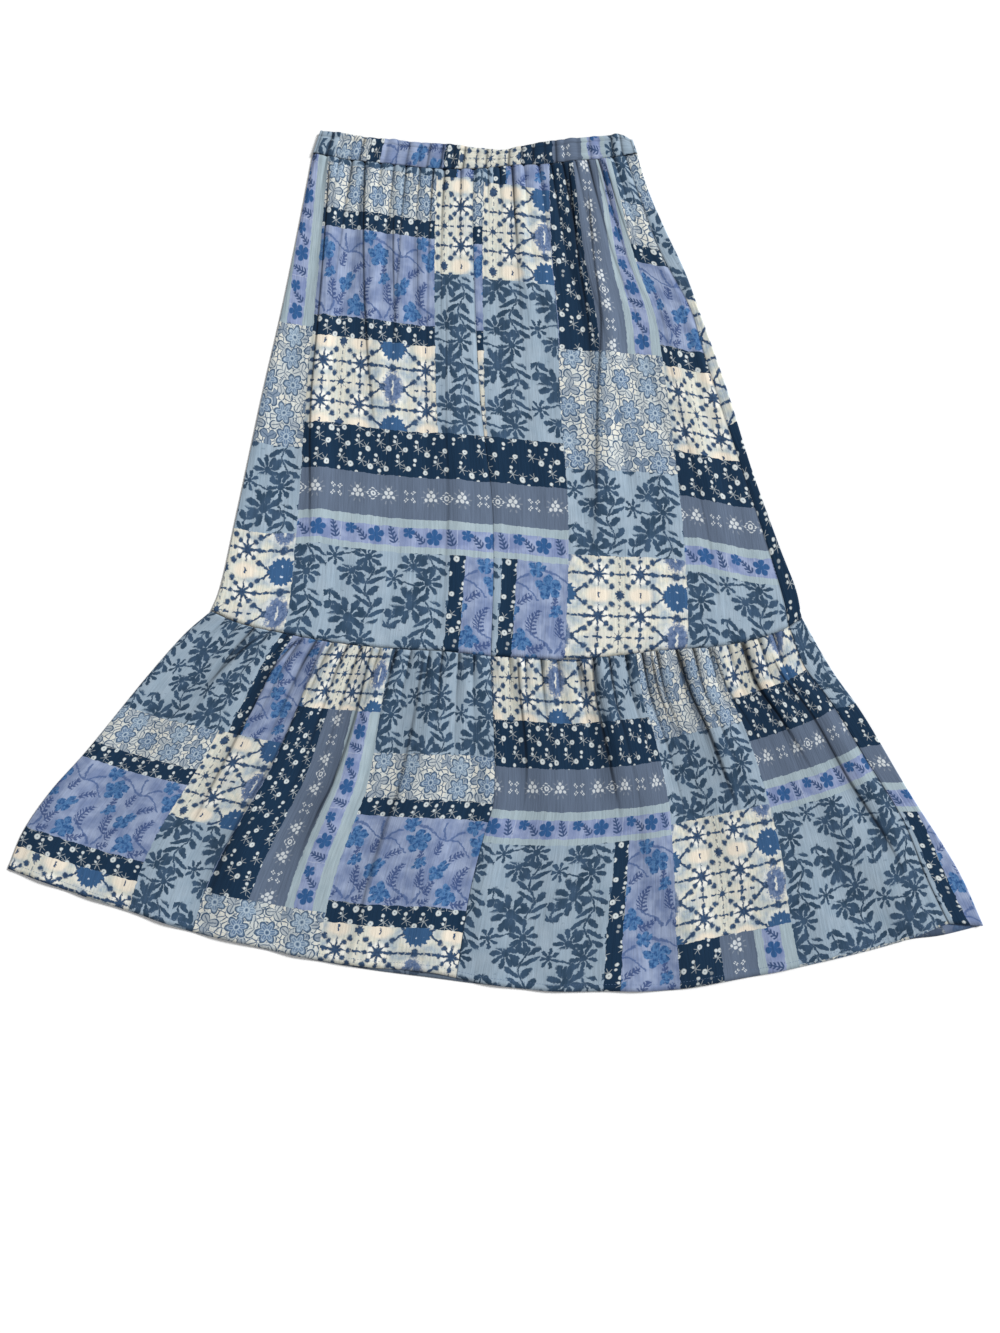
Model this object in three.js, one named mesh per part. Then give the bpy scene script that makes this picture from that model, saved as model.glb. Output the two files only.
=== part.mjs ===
import * as THREE from 'three';

// A two tier maxi skirt with an elastic waistband, lying flat on its back.
// Sizes are in millimetres. X runs to the right, Y to the waist and Z up from the surface it lies on.

// Driving sizes.
const CLOTH = 1.2;
const BAND_WALL = 2.4;
const SEAM_GAP = 0.3;
const LAYER_GAP = 0.3;
const FOLD_RADIUS = 1.5;
const BAND_RING_GAP = 0.4;

const WAIST_GATHERS_LEFT = 12;
const WAIST_GATHERS_RIGHT = 12;
const WAIST_GATHERS_BACK = 24;
const TIER_GATHERS_LEFT = 18;
const TIER_GATHERS_RIGHT = 18;
const TIER_GATHERS_BACK = 36;
const BAND_GATHERS = 28;

const WAIST_GATHER_HEIGHT = 2.2;
const TIER_GATHER_HEIGHT = 3.0;
const BACK_GATHER_HEIGHT = 1.0;
const BAND_GATHER_HEIGHT = 1.5;
const BAND_EDGE_RUFFLE = 1.6;
const GATHER_REACH = 0.11;
const GATHER_DRIFT = 0.35;
const SIDE_RIDGE_HEIGHT = 1.2;
const UNDER_DENT = 0.5;
const BACK_FLAT_FROM = 0.28;
const BACK_FLAT_AT = 0.45;

// Shares of a gather at which a column of the front cloth, and of the back cloth, is placed.
const FRONT_STEPS = [0.125, 0.375, 0.625, 0.875];
const BACK_STEPS = [0, 0.5];

// Degrees round the fold, and shares of the way from it to the side seam, at which columns are placed.
const FOLD_TURNS = [-60, -30, 0, 30, 60, 90];
const STRIP_STEPS = [0.35, 0.7, 1];
const BAND_TURNS = [-60, -20, 20, 60];

// Shares of the length at which rows are placed, close together where the gathers start.
const UPPER_ROWS = [0, 0.035, 0.1, 0.22, 0.45, 0.72, 1];
const TIER_ROWS = [0, 0.05, 0.13, 0.28, 0.5, 0.75, 1];
const BAND_ROWS = [0, 0.5, 1];

const CURVE_STEPS = 8;

// Turns a table with named columns into one record for each of its rows.
function table(columns, rows) {
  return rows.map((row) => Object.fromEntries(columns.map((name, i) => [name, row[i]])));
}

// A soft line through the points of an outline, on which a few more points lie between each two.
function outline(rows) {
  const knots = table(['x', 'y'], rows);
  const places = knots.map((knot) => new THREE.Vector3(knot.x, knot.y, 0));
  const spline = new THREE.CatmullRomCurve3(places, false, 'centripetal');
  return spline.getPoints((knots.length - 1) * CURVE_STEPS).map((point) => ({ x: point.x, y: point.y }));
}

// Outlines and seams, seen from above.
const BAND_TOP = outline([
  [-209, 484.4], [-178, 482], [-144, 476], [-109, 470], [-75, 467], [-40, 464], [-5, 460], [10, 459],
  [29, 463], [64, 469], [98, 473], [133, 476], [148, 477], [159, 471],
]);
const WAIST_SEAM = outline([
  [-209, 455], [-172, 447], [-116, 441], [-67, 436], [-24, 436], [25, 440], [54, 441], [97, 446],
  [126, 448], [150, 452], [164, 455],
]);
const TIER_SEAM = outline([
  [-313, -75], [-280, -89], [-237, -99], [-178, -110], [-111, -117], [-53, -120], [-4, -125], [39, -127],
  [81, -129], [138, -124], [180, -119], [240, -115], [271, -110], [292, -105], [310, -99], [324, -92],
  [339, -82],
]);
const FRONT_HEM = outline([
  [-525, -355], [-458, -379], [-392, -400], [-327, -421], [-262, -436], [-198, -450], [-133, -459],
  [-69, -464], [-41, -470], [-5, -477], [60, -484], [124, -484], [188, -483], [252, -473], [317, -461],
  [382, -446], [430, -434], [487, -413],
]);
const BACK_HEM = outline([
  [-525, -357], [-458, -381], [-392, -402], [-327, -423], [-262, -438], [-198, -452], [-133, -463],
  [-69, -471], [-5, -479], [60, -484.5], [124, -484.5], [188, -483], [252, -473], [317, -461],
  [382, -447], [447, -430], [479, -426], [525, -415],
]);
const UPPER_LEFT_EDGE = outline([
  [-209, 455], [-212, 436], [-224, 364], [-241, 269], [-260, 176], [-286, 38], [-304, -52], [-313, -75],
]);
const UPPER_CENTRE_SEAM = outline([
  [-24, 436], [-25, 365], [-16, 165], [-3, 51], [-1, -17], [-4, -125],
]);
const UPPER_SIDE_SEAM = outline([
  [150, 452], [188, 339], [222, 270], [238, 212], [319, -62], [324, -92],
]);
const UPPER_RIGHT_EDGE = outline([
  [164, 455], [176, 412], [195, 364], [216, 316], [232, 269], [262, 176], [288, 84], [318, -7], [334, -52],
  [339, -82],
]);
const TIER_LEFT_EDGE = outline([
  [-313, -75], [-338, -97], [-376, -141], [-445, -229], [-482, -272], [-510, -315], [-525, -355],
]);
const TIER_CENTRE_SEAM = outline([
  [-4, -125], [-1, -282], [-11, -319], [-26, -378], [-41, -470],
]);
const TIER_SIDE_SEAM = outline([
  [324, -92], [339, -135], [367, -174], [402, -234], [443, -305], [464, -362], [487, -413],
]);
const TIER_RIGHT_EDGE = outline([
  [339, -82], [347, -97], [371, -141], [401, -185], [450, -272], [501, -358], [525, -415],
]);

// The largest folds. Top and bottom are shares of the panel's width, from and to shares of its length.
const FOLD_COLUMNS = ['top', 'bottom', 'from', 'to', 'width', 'height'];
const FRONT_LEFT_FOLDS = table(FOLD_COLUMNS, [
  [0.11, 0.29, 0.0, 0.8, 0.05, 3.5],
  [0.32, 0.55, 0.0, 0.6, 0.06, 3.0],
  [0.54, 0.62, 0.05, 0.4, 0.05, 2.0],
  [0.69, 0.72, 0.1, 0.35, 0.04, 2.0],
  [0.86, 0.82, 0.25, 0.95, 0.06, 1.5],
]);
const FRONT_RIGHT_FOLDS = table(FOLD_COLUMNS, [
  [0.3, 0.14, 0.0, 0.35, 0.05, 2.0],
  [0.62, 0.33, 0.0, 0.5, 0.05, 3.5],
  [0.7, 0.37, 0.05, 0.95, 0.05, 2.5],
  [0.82, 0.78, 0.0, 0.25, 0.05, 3.0],
  [0.92, 0.8, 0.3, 0.95, 0.05, 1.5],
]);
const TIER_LEFT_FOLDS = table(FOLD_COLUMNS, [
  [0.15, 0.17, 0.0, 0.35, 0.05, 3.0],
  [0.31, 0.33, 0.0, 0.6, 0.04, 3.5],
  [0.46, 0.47, 0.0, 0.9, 0.05, 3.0],
  [0.62, 0.63, 0.0, 0.7, 0.04, 2.5],
  [0.8, 0.8, 0.0, 0.95, 0.05, 3.0],
]);
const TIER_RIGHT_FOLDS = table(FOLD_COLUMNS, [
  [0.09, 0.09, 0.0, 0.55, 0.04, 2.0],
  [0.34, 0.33, 0.0, 0.7, 0.05, 4.0],
  [0.57, 0.52, 0.0, 0.35, 0.04, 3.0],
  [0.64, 0.69, 0.0, 0.75, 0.05, 4.5],
  [0.85, 0.83, 0.0, 0.45, 0.04, 3.0],
  [0.91, 0.96, 0.05, 0.75, 0.04, 4.0],
]);

// A repeatable number from 0 to 1 that differs from one gather to the next.
function uneven(index, kind) {
  const wave = Math.sin(index * 12.9898 + kind * 78.233) * 43758.5453;
  return wave - Math.floor(wave);
}

function smooth(low, high, value) {
  const share = Math.min(1, Math.max(0, (value - low) / (high - low)));
  return share * share * (3 - 2 * share);
}

function mix(a, b, share) {
  return a + (b - a) * share;
}

// A curve through a table's points, as a function of the share of its length.
function curve(points) {
  const lengths = [0];
  for (let i = 1; i < points.length; i += 1) {
    lengths.push(lengths[i - 1] + Math.hypot(points[i].x - points[i - 1].x, points[i].y - points[i - 1].y));
  }
  const whole = lengths[lengths.length - 1];
  return (share) => {
    const along = Math.min(whole, Math.max(0, share * whole));
    let i = 1;
    while (i < lengths.length - 1 && lengths[i] < along) {
      i += 1;
    }
    const part = (along - lengths[i - 1]) / (lengths[i] - lengths[i - 1]);
    return { x: mix(points[i - 1].x, points[i].x, part), y: mix(points[i - 1].y, points[i].y, part) };
  };
}

// The stretch of a table between two values of x, with its ends put in.
function stretch(points, from, to) {
  const at = (x) => {
    let i = 1;
    while (i < points.length - 1 && points[i].x < x) {
      i += 1;
    }
    const part = (x - points[i - 1].x) / (points[i].x - points[i - 1].x);
    return { x, y: mix(points[i - 1].y, points[i].y, part) };
  };
  return [at(from), ...points.filter((point) => point.x > from && point.x < to), at(to)];
}

// A patch between four edge curves. Its upper and lower ends are moved in by half the seam gap.
function patch(edges) {
  const corner = [edges.top(0), edges.top(1), edges.bottom(0), edges.bottom(1)];
  return (across, down) => {
    const left = edges.left(down);
    const right = edges.right(down);
    const top = edges.top(across);
    const bottom = edges.bottom(across);
    const blend = (axis) => {
      const upperEnd = mix(corner[0][axis], corner[1][axis], across);
      const lowerEnd = mix(corner[2][axis], corner[3][axis], across);
      return mix(left[axis], right[axis], across) + mix(top[axis], bottom[axis], down)
        - mix(upperEnd, lowerEnd, down);
    };
    const inward = down === 0 ? -1 : down === 1 ? 1 : 0;
    return { x: blend('x'), y: blend('y') + inward * SEAM_GAP / 2 };
  };
}

// Columns for a gathered edge: where each one lies and which share of which gather it is.
function gatherColumns(count, steps) {
  const columns = [{ across: 0, gather: 0, share: 0 }];
  for (let k = 0; k < count; k += 1) {
    const start = k === 0 ? 0 : (k + GATHER_DRIFT * (uneven(k, 1) - 0.5)) / count;
    const end = k === count - 1 ? 1 : (k + 1 + GATHER_DRIFT * (uneven(k + 1, 1) - 0.5)) / count;
    steps.filter((share) => k > 0 || share > 0).forEach((share) => {
      columns.push({ across: mix(start, end, share), gather: k, share });
    });
  }
  columns.push({ across: 1, gather: count - 1, share: 1 });
  return columns;
}

// How high a gather stands at a share of the length below its seam.
function gatherHeight(column, down, height) {
  const reach = GATHER_REACH * (0.5 + 1.6 * uneven(column.gather, 2));
  const size = height * (0.6 + 0.4 * uneven(column.gather, 3));
  return size * (0.5 - 0.5 * Math.cos(2 * Math.PI * column.share)) * Math.exp(-down / reach);
}

function foldHeight(folds, across, down) {
  return folds.reduce((sum, fold) => {
    const offset = (across - mix(fold.top, fold.bottom, down)) / fold.width;
    const begun = smooth(fold.from - 0.04, fold.from + 0.05, down);
    const ended = smooth(fold.to - 0.2, fold.to + 0.1, down);
    return sum + fold.height * Math.exp(-offset * offset) * begun * (1 - ended);
  }, 0);
}

// Closes a grid of middle points into a wall: each point is moved out by half the wall on both faces.
function wall(rows, thickness) {
  const positions = [];
  const count = rows[0].length;
  const half = thickness / 2;
  rows.forEach((row) => {
    row.forEach((point, i) => {
      const before = row[Math.max(0, i - 1)];
      const after = row[Math.min(count - 1, i + 1)];
      const runX = after.x - before.x;
      const runZ = i === 0 || i === count - 1 ? 0 : after.z - before.z;
      const length = Math.hypot(runX, runZ);
      const outX = -runZ / length;
      const outZ = runX / length;
      positions.push(point.x + outX * half, point.y, point.z + outZ * half);
      positions.push(point.x - outX * half, point.y, point.z - outZ * half);
    });
  });
  const upper = (r, c) => (r * count + c) * 2;
  const lower = (r, c) => (r * count + c) * 2 + 1;
  const faces = [];
  const quad = (a, b, c, d) => faces.push(a, b, c, a, c, d);
  for (let r = 0; r < rows.length - 1; r += 1) {
    for (let c = 0; c < count - 1; c += 1) {
      quad(upper(r, c), upper(r + 1, c), upper(r + 1, c + 1), upper(r, c + 1));
      quad(lower(r, c), lower(r, c + 1), lower(r + 1, c + 1), lower(r + 1, c));
    }
    quad(upper(r, 0), lower(r, 0), lower(r + 1, 0), upper(r + 1, 0));
    quad(upper(r, count - 1), upper(r + 1, count - 1), lower(r + 1, count - 1), lower(r, count - 1));
  }
  const last = rows.length - 1;
  for (let c = 0; c < count - 1; c += 1) {
    quad(upper(0, c), upper(0, c + 1), lower(0, c + 1), lower(0, c));
    quad(upper(last, c), lower(last, c), lower(last, c + 1), upper(last, c + 1));
  }
  return closedGeometry(positions, faces);
}

function closedGeometry(positions, faces) {
  const geometry = new THREE.BufferGeometry();
  geometry.setAttribute('position', new THREE.Float32BufferAttribute(positions, 3));
  geometry.setIndex(faces);
  geometry.computeVertexNormals();
  return geometry;
}

// The height of the middle of the front cloth where it rests on the back cloth and on its gathers.
function frontRest(down) {
  const flat = CLOTH + LAYER_GAP + CLOTH / 2;
  return flat + BACK_GATHER_HEIGHT * Math.exp(-down / (GATHER_REACH * 2.1));
}

// A front panel lies over the back. Its side ridge stands along the right edge, if it has one.
function frontPanel(edges, rowShares, gathers, gatherSize, folds, sideRidge) {
  const plan = patch(edges);
  const columns = gatherColumns(gathers, FRONT_STEPS);
  const rows = rowShares.map((down) => columns.map((column) => {
    const point = plan(column.across, down);
    const inside = smooth(0, 0.03, column.across) * (1 - smooth(0.97, 1, column.across));
    const lift = gatherHeight(column, down, gatherSize) + foldHeight(folds, column.across, down);
    const ridge = sideRidge * smooth(0.93, 0.99, column.across);
    const inward = column.across === 0 ? 1 : column.across === 1 ? -1 : 0;
    return {
      x: point.x + inward * SEAM_GAP / 2,
      y: point.y,
      z: frontRest(down) + inside * lift + ridge,
    };
  }));
  return wall(rows, CLOTH);
}

// A back panel lies under the front, turns up round the right edge and ends at the side seam on top.
function backPanel(edges, side, rowShares, gathers, stripHeight) {
  const plan = patch(edges);
  const columns = gatherColumns(gathers, BACK_STEPS);
  const outer = FOLD_RADIUS + CLOTH / 2;
  const rows = rowShares.map((down) => {
    const start = plan(0, down);
    const fold = plan(1, down);
    const seam = side(down);
    const turnX = fold.x - outer;
    const gathered = 1 - smooth(BACK_FLAT_FROM, BACK_FLAT_AT, down);
    const shareAt = (x) => (x - start.x) / (fold.x - start.x);
    const row = columns.map((column) => {
      const point = plan(column.across * shareAt(turnX), down);
      const inside = smooth(0, 0.03, column.across) * (1 - smooth(0.95, 0.99, column.across)) * gathered;
      return { ...point, z: CLOTH / 2 + gatherHeight(column, down, BACK_GATHER_HEIGHT) * inside };
    });
    FOLD_TURNS.forEach((degrees) => {
      const angle = degrees * Math.PI / 180;
      const x = turnX + FOLD_RADIUS * Math.cos(angle);
      row.push({ x, y: plan(shareAt(x), down).y, z: CLOTH / 2 + FOLD_RADIUS * (1 + Math.sin(angle)) });
    });
    const inward = down === 0 ? -1 : down === 1 ? 1 : 0;
    const slip = seam.y + inward * SEAM_GAP / 2 - plan(shareAt(seam.x), down).y;
    STRIP_STEPS.forEach((share) => {
      const x = mix(turnX, seam.x + SEAM_GAP / 2, share);
      const z = mix(CLOTH / 2 + 2 * FOLD_RADIUS, stripHeight(down), share);
      row.push({ x, y: plan(shareAt(x), down).y + slip * share, z });
    });
    return row;
  });
  return wall(rows, CLOTH);
}

// The band is a flattened ring. Its gathers are pressed into its outer face.
// Each place on the ring has the middle point of its wall's core and the way out of it.
function waistbandRing() {
  const top = curve(BAND_TOP);
  const bottom = curve(WAIST_SEAM);
  const half = BAND_WALL / 2;
  const radius = (BAND_WALL + BAND_RING_GAP) / 2;
  const columns = gatherColumns(BAND_GATHERS, BACK_STEPS).slice(1, -1);
  const middle = half + radius;
  const crest = (column) => 0.5 - 0.5 * Math.cos(2 * Math.PI * column.share);

  const ring = (down) => {
    const endX = (share) => mix(top(share).x, bottom(share).x, down);
    const heightAt = (share) => mix(top(share).y, bottom(share).y + SEAM_GAP, down);
    const left = endX(0) + middle;
    const right = endX(1) - middle;
    const run = (column, outZ, lift) => {
      const part = (endX(column.across) - endX(0)) / (endX(1) - endX(0));
      const ruffle = BAND_EDGE_RUFFLE * (uneven(column.gather, 4) - 0.5) * (1 - down);
      return { x: mix(left, right, part), y: heightAt(column.across) + ruffle, outX: 0, outZ, lift };
    };
    const turn = (x, y, side) => BAND_TURNS.map((degrees) => {
      const angle = degrees * Math.PI / 180;
      return { x, y, outX: side * Math.cos(angle), outZ: Math.sin(angle), lift: 0 };
    });
    return [
      ...columns.map((column) => run(column, -1, -UNDER_DENT * (1 - crest(column)))),
      ...turn(right, heightAt(1), 1),
      ...columns.map((column) => run(column, 1, BAND_GATHER_HEIGHT * crest(column))).reverse(),
      ...turn(left, heightAt(0), -1).reverse(),
    ];
  };

  const rows = BAND_ROWS.map(ring);
  const count = rows[0].length;
  const positions = rows.flat().flatMap((point) => {
    const faces = [radius + half + point.lift, radius - half];
    return faces.flatMap((out) => [point.x + point.outX * out, point.y, middle + point.outZ * out]);
  });
  const outside = (r, c) => (r * count + (c % count)) * 2;
  const inside = (r, c) => outside(r, c) + 1;
  const faces = [];
  const quad = (a, b, c, d) => faces.push(a, b, c, a, c, d);
  const last = rows.length - 1;
  for (let c = 0; c < count; c += 1) {
    for (let r = 0; r < last; r += 1) {
      quad(outside(r, c), outside(r, c + 1), outside(r + 1, c + 1), outside(r + 1, c));
      quad(inside(r, c), inside(r + 1, c), inside(r + 1, c + 1), inside(r, c + 1));
    }
    quad(outside(0, c), inside(0, c), inside(0, c + 1), outside(0, c + 1));
    quad(outside(last, c), outside(last, c + 1), inside(last, c + 1), inside(last, c));
  }
  return closedGeometry(positions, faces);
}

function piece(name, geometry) {
  const cloth = new THREE.MeshStandardMaterial({ color: 0x7d90b4, roughness: 0.9, metalness: 0 });
  const mesh = new THREE.Mesh(geometry, cloth);
  mesh.name = name;
  return mesh;
}

// Where the left fold, the centre front seam and the side seam meet the waist, the tier seam and the hem.
const SEAM_ENDS = {
  waist: { left: -209, centre: -24, side: 150 },
  tier: { left: -313, centre: -4, side: 324 },
  hem: { left: -525, centre: -41, side: 487 },
};

const upperLeft = curve(UPPER_LEFT_EDGE);
const upperCentre = curve(UPPER_CENTRE_SEAM);
const upperSide = curve(UPPER_SIDE_SEAM);
const upperRight = curve(UPPER_RIGHT_EDGE);
const tierLeft = curve(TIER_LEFT_EDGE);
const tierCentre = curve(TIER_CENTRE_SEAM);
const tierSide = curve(TIER_SIDE_SEAM);
const tierRight = curve(TIER_RIGHT_EDGE);

const frontLeft = {
  left: upperLeft,
  right: upperCentre,
  top: curve(stretch(WAIST_SEAM, SEAM_ENDS.waist.left, SEAM_ENDS.waist.centre)),
  bottom: curve(stretch(TIER_SEAM, SEAM_ENDS.tier.left, SEAM_ENDS.tier.centre)),
};
const frontRight = {
  left: upperCentre,
  right: upperSide,
  top: curve(stretch(WAIST_SEAM, SEAM_ENDS.waist.centre, SEAM_ENDS.waist.side)),
  bottom: curve(stretch(TIER_SEAM, SEAM_ENDS.tier.centre, SEAM_ENDS.tier.side)),
};
const back = {
  left: upperLeft,
  right: upperRight,
  top: curve(WAIST_SEAM),
  bottom: curve(TIER_SEAM),
};
const tierFrontLeft = {
  left: tierLeft,
  right: tierCentre,
  top: curve(stretch(TIER_SEAM, SEAM_ENDS.tier.left, SEAM_ENDS.tier.centre)),
  bottom: curve(stretch(FRONT_HEM, SEAM_ENDS.hem.left, SEAM_ENDS.hem.centre)),
};
const tierFrontRight = {
  left: tierCentre,
  right: tierSide,
  top: curve(stretch(TIER_SEAM, SEAM_ENDS.tier.centre, SEAM_ENDS.tier.side)),
  bottom: curve(stretch(FRONT_HEM, SEAM_ENDS.hem.centre, SEAM_ENDS.hem.side)),
};
const tierBack = {
  left: tierLeft,
  right: tierRight,
  top: curve(TIER_SEAM),
  bottom: curve(BACK_HEM),
};

const stripHeight = (down) => frontRest(down) + SIDE_RIDGE_HEIGHT * 0.2;

const skirt = new THREE.Group();
skirt.name = 'maxi_skirt';
skirt.add(
  piece('waistband', waistbandRing()),
  piece('front_left', frontPanel(
    frontLeft, UPPER_ROWS, WAIST_GATHERS_LEFT, WAIST_GATHER_HEIGHT, FRONT_LEFT_FOLDS, 0,
  )),
  piece('front_right', frontPanel(
    frontRight, UPPER_ROWS, WAIST_GATHERS_RIGHT, WAIST_GATHER_HEIGHT, FRONT_RIGHT_FOLDS, SIDE_RIDGE_HEIGHT,
  )),
  piece('back', backPanel(back, upperSide, UPPER_ROWS, WAIST_GATHERS_BACK, stripHeight)),
  piece('tier_front_left', frontPanel(
    tierFrontLeft, TIER_ROWS, TIER_GATHERS_LEFT, TIER_GATHER_HEIGHT, TIER_LEFT_FOLDS, 0,
  )),
  piece('tier_front_right', frontPanel(
    tierFrontRight, TIER_ROWS, TIER_GATHERS_RIGHT, TIER_GATHER_HEIGHT, TIER_RIGHT_FOLDS, SIDE_RIDGE_HEIGHT,
  )),
  piece('tier_back', backPanel(tierBack, tierSide, TIER_ROWS, TIER_GATHERS_BACK, stripHeight)),
);

export default skirt;
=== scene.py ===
import math

import bpy
import numpy as np
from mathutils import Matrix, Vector


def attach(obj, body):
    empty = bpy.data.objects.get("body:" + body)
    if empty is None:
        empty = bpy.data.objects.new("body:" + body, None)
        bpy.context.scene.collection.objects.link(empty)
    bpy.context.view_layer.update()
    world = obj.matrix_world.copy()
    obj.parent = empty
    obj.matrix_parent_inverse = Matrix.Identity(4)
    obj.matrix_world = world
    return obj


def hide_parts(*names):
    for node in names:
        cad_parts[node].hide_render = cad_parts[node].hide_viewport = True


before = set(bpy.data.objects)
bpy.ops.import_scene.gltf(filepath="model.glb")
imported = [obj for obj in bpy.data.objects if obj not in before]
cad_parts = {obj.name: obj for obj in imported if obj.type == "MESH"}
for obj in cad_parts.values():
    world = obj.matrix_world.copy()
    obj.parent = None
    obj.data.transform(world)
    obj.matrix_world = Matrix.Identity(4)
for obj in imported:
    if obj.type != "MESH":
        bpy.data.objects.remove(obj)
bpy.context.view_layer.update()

# Sizes are in millimetres, and MM turns them into Blender's metres.
MM = 0.001

# Camera: where it looks at the floor, how far off it is, and how steeply it looks down.
LOOK_AT = (6.13, -135.94)
CAMERA_DISTANCE = 1101.0
CAMERA_ELEVATION = 85.0
CAMERA_LENS = 27.03

# Cloth: the solids' wall and the gap between layers, and the thin shells' own wall.
CLOTH_WALL = 1.2
LAYER_GAP = 0.3
SHELL_WALL = 0.7
FOLD_RADIUS = 1.5
LEFT_FOLD_REST = 1.35
PANEL_PUFF = 0.4
SEAM_SLIT = 0.02
SEAM_DIP = 0.5
SEAM_DIP_REACH = 2.2
HEM_DEPTH = 7.0
HEM_STEP = 0.35
UPPER_LENGTH = 500
TIER_LENGTH = 340

# The back's fold round the right edge, and its strip from there to the side seam: how many columns each has.
FOLD_STEPS = 11
STRIP_STEPS = 14

# Gathers: their heights, how far down they reach as a share of the length, and how unevenly they are spaced.
WAIST_GATHER_HEIGHT = 2.1
TIER_GATHER_HEIGHT = 3.6
BACK_GATHER_HEIGHT = 1.0
SIDE_RIDGE_HEIGHT = 1.2
GATHER_REACH = 0.11
GATHER_DRIFT = 0.35
SMALL_PLEAT_REACH = 0.035

# The valleys between gathers: the width of each and of the painted shade around it as shares of a gather, and their
# depth as a share of its height.
VALLEY_WIDTH = 0.075
VALLEY_SHADE_WIDTH = 0.22
VALLEY_DEPTH = 0.35

# Beside each large fold lies a groove, this many fold widths from its middle. The fold sways by a share of the width.
GROOVE_PLACE = 0.75
FOLD_SWAY = 0.006

# Painted shade over the whole tier, and how much of a crease's painted shade its inner face has.
TIER_SHADE = 0.13
INNER_CREASE_SHADE = 0.5

# The band, and where it lies on the print: its way round, and its two ends across.
BAND_GATHERS = 28
BAND_COLUMNS = 320
BAND_ROWS = 25
BAND_TURN_STEPS = 13
BAND_WALL = 2.4
BAND_RING_GAP = 0.4
BAND_GATHER_HEIGHT = 1.5
BAND_EDGE_RUFFLE = 1.6
BAND_PRINT_ROUND = 918
BAND_PRINT_SHIFT = 20
BAND_PRINT_ENDS = (25, 47)

# Stitches: from one to the next, half the length of one, and the thread's radius.
STITCH_SIZES = {"Spacing": 3.2, "Stitch Length": 1.1, "Thread Radius": 0.2}
STITCH_LIFT = 0.05

# The print repeats in units of 1.1 mm.
REPEAT_WIDE = 340.0
REPEAT_LONG = 533.0

# The pieces' print map holds these units from minus PRINT_START on, as shares of PRINT_SPAN.
PRINT_START = 200.0
PRINT_SPAN = 1600.0

# Crinkles and threads: their width and length, in units of the print. SHARP is a hard step between patches.
CRINKLE_SIZE = (2.2, 30)
THREAD_SIZE = (0.9, 1.1)
SHARP = 0.02


def make_camera():
    """The camera looks down on the skirt from the waist's opposite side."""
    tilt = math.radians(CAMERA_ELEVATION)
    back = Vector((0, -math.cos(tilt), math.sin(tilt)))
    data = bpy.data.cameras.new("camera")
    data.sensor_width = 36.0
    data.lens = CAMERA_LENS
    data.clip_start = 0.01
    data.clip_end = 50.0
    camera = bpy.data.objects.new("camera", data)
    bpy.context.scene.collection.objects.link(camera)
    camera.location = Vector((LOOK_AT[0] * MM, LOOK_AT[1] * MM, 0)) + back * CAMERA_DISTANCE * MM
    camera.rotation_mode = "QUATERNION"
    camera.rotation_quaternion = (-back).to_track_quat("-Z", "Y")
    bpy.context.scene.camera = camera


make_camera()


# Outlines and seams

def outline(rows, steps=8):
    """A soft line through the points, as an array of x and y."""
    knots = np.array(rows, float)
    before = 2 * knots[0] - knots[1]
    after = 2 * knots[-1] - knots[-2]
    knots = np.vstack([before, knots, after])
    line = []
    for i in range(1, len(knots) - 2):
        p0, p1, p2, p3 = knots[i - 1:i + 3]
        d0, d1, d2 = (math.sqrt(np.linalg.norm(b - a)) for a, b in ((p0, p1), (p1, p2), (p2, p3)))
        m1 = ((p1 - p0) / d0 - (p2 - p0) / (d0 + d1) + (p2 - p1) / d1) * d1
        m2 = ((p2 - p1) / d1 - (p3 - p1) / (d1 + d2) + (p3 - p2) / d2) * d1
        for k in range(steps):
            t = k / steps
            line.append(p1 + m1 * t + (-3 * p1 + 3 * p2 - 2 * m1 - m2) * t ** 2
                        + (2 * p1 - 2 * p2 + m1 + m2) * t ** 3)
    line.append(knots[-2])
    return np.array(line)


BAND_TOP = outline([
    (-201, 482), (-192, 481), (-178, 479), (-144, 474), (-109, 470), (-75, 467), (-40, 464), (-5, 460), (10, 459),
    (29, 463), (64, 469), (98, 473), (133, 476), (148, 477), (159, 471)])
WAIST_SEAM = outline([
    (-209, 455), (-172, 447), (-116, 441), (-67, 436), (-24, 436), (25, 440), (54, 441), (97, 446),
    (126, 448), (150, 452), (164, 455)])
TIER_SEAM = outline([
    (-313, -75), (-280, -89), (-237, -99), (-178, -110), (-111, -117), (-53, -120), (-4, -125), (39, -127),
    (81, -129), (138, -124), (180, -119), (240, -115), (271, -110), (292, -105), (310, -99), (324, -92),
    (339, -82)])
FRONT_HEM = outline([
    (-525, -355), (-458, -379), (-392, -400), (-327, -421), (-262, -436), (-198, -450), (-133, -459),
    (-69, -464), (-41, -470), (-5, -477), (60, -484), (124, -484), (188, -483), (252, -473), (317, -461),
    (382, -446), (430, -434), (487, -413)])
BACK_HEM = outline([
    (-525, -357), (-458, -381), (-392, -402), (-327, -423), (-262, -438), (-198, -452), (-133, -463),
    (-69, -471), (-5, -479), (60, -484.5), (124, -484.5), (188, -483), (252, -473), (317, -461),
    (382, -447), (447, -430), (479, -426), (525, -415)])
UPPER_LEFT_EDGE = outline([
    (-209, 455), (-212, 436), (-224, 364), (-241, 269), (-260, 176), (-286, 38), (-304, -52), (-313, -75)])
UPPER_CENTRE_SEAM = outline([(-24, 436), (-25, 365), (-16, 165), (-3, 51), (-1, -17), (-4, -125)])
UPPER_SIDE_SEAM = outline([(150, 452), (188, 339), (222, 270), (238, 212), (319, -62), (324, -92)])
UPPER_RIGHT_EDGE = outline([
    (164, 455), (176, 412), (195, 364), (216, 316), (232, 269), (262, 176), (288, 84), (318, -7), (334, -52),
    (339, -82)])
TIER_LEFT_EDGE = outline([
    (-313, -75), (-338, -97), (-376, -141), (-445, -229), (-482, -272), (-510, -315), (-525, -355)])
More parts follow.
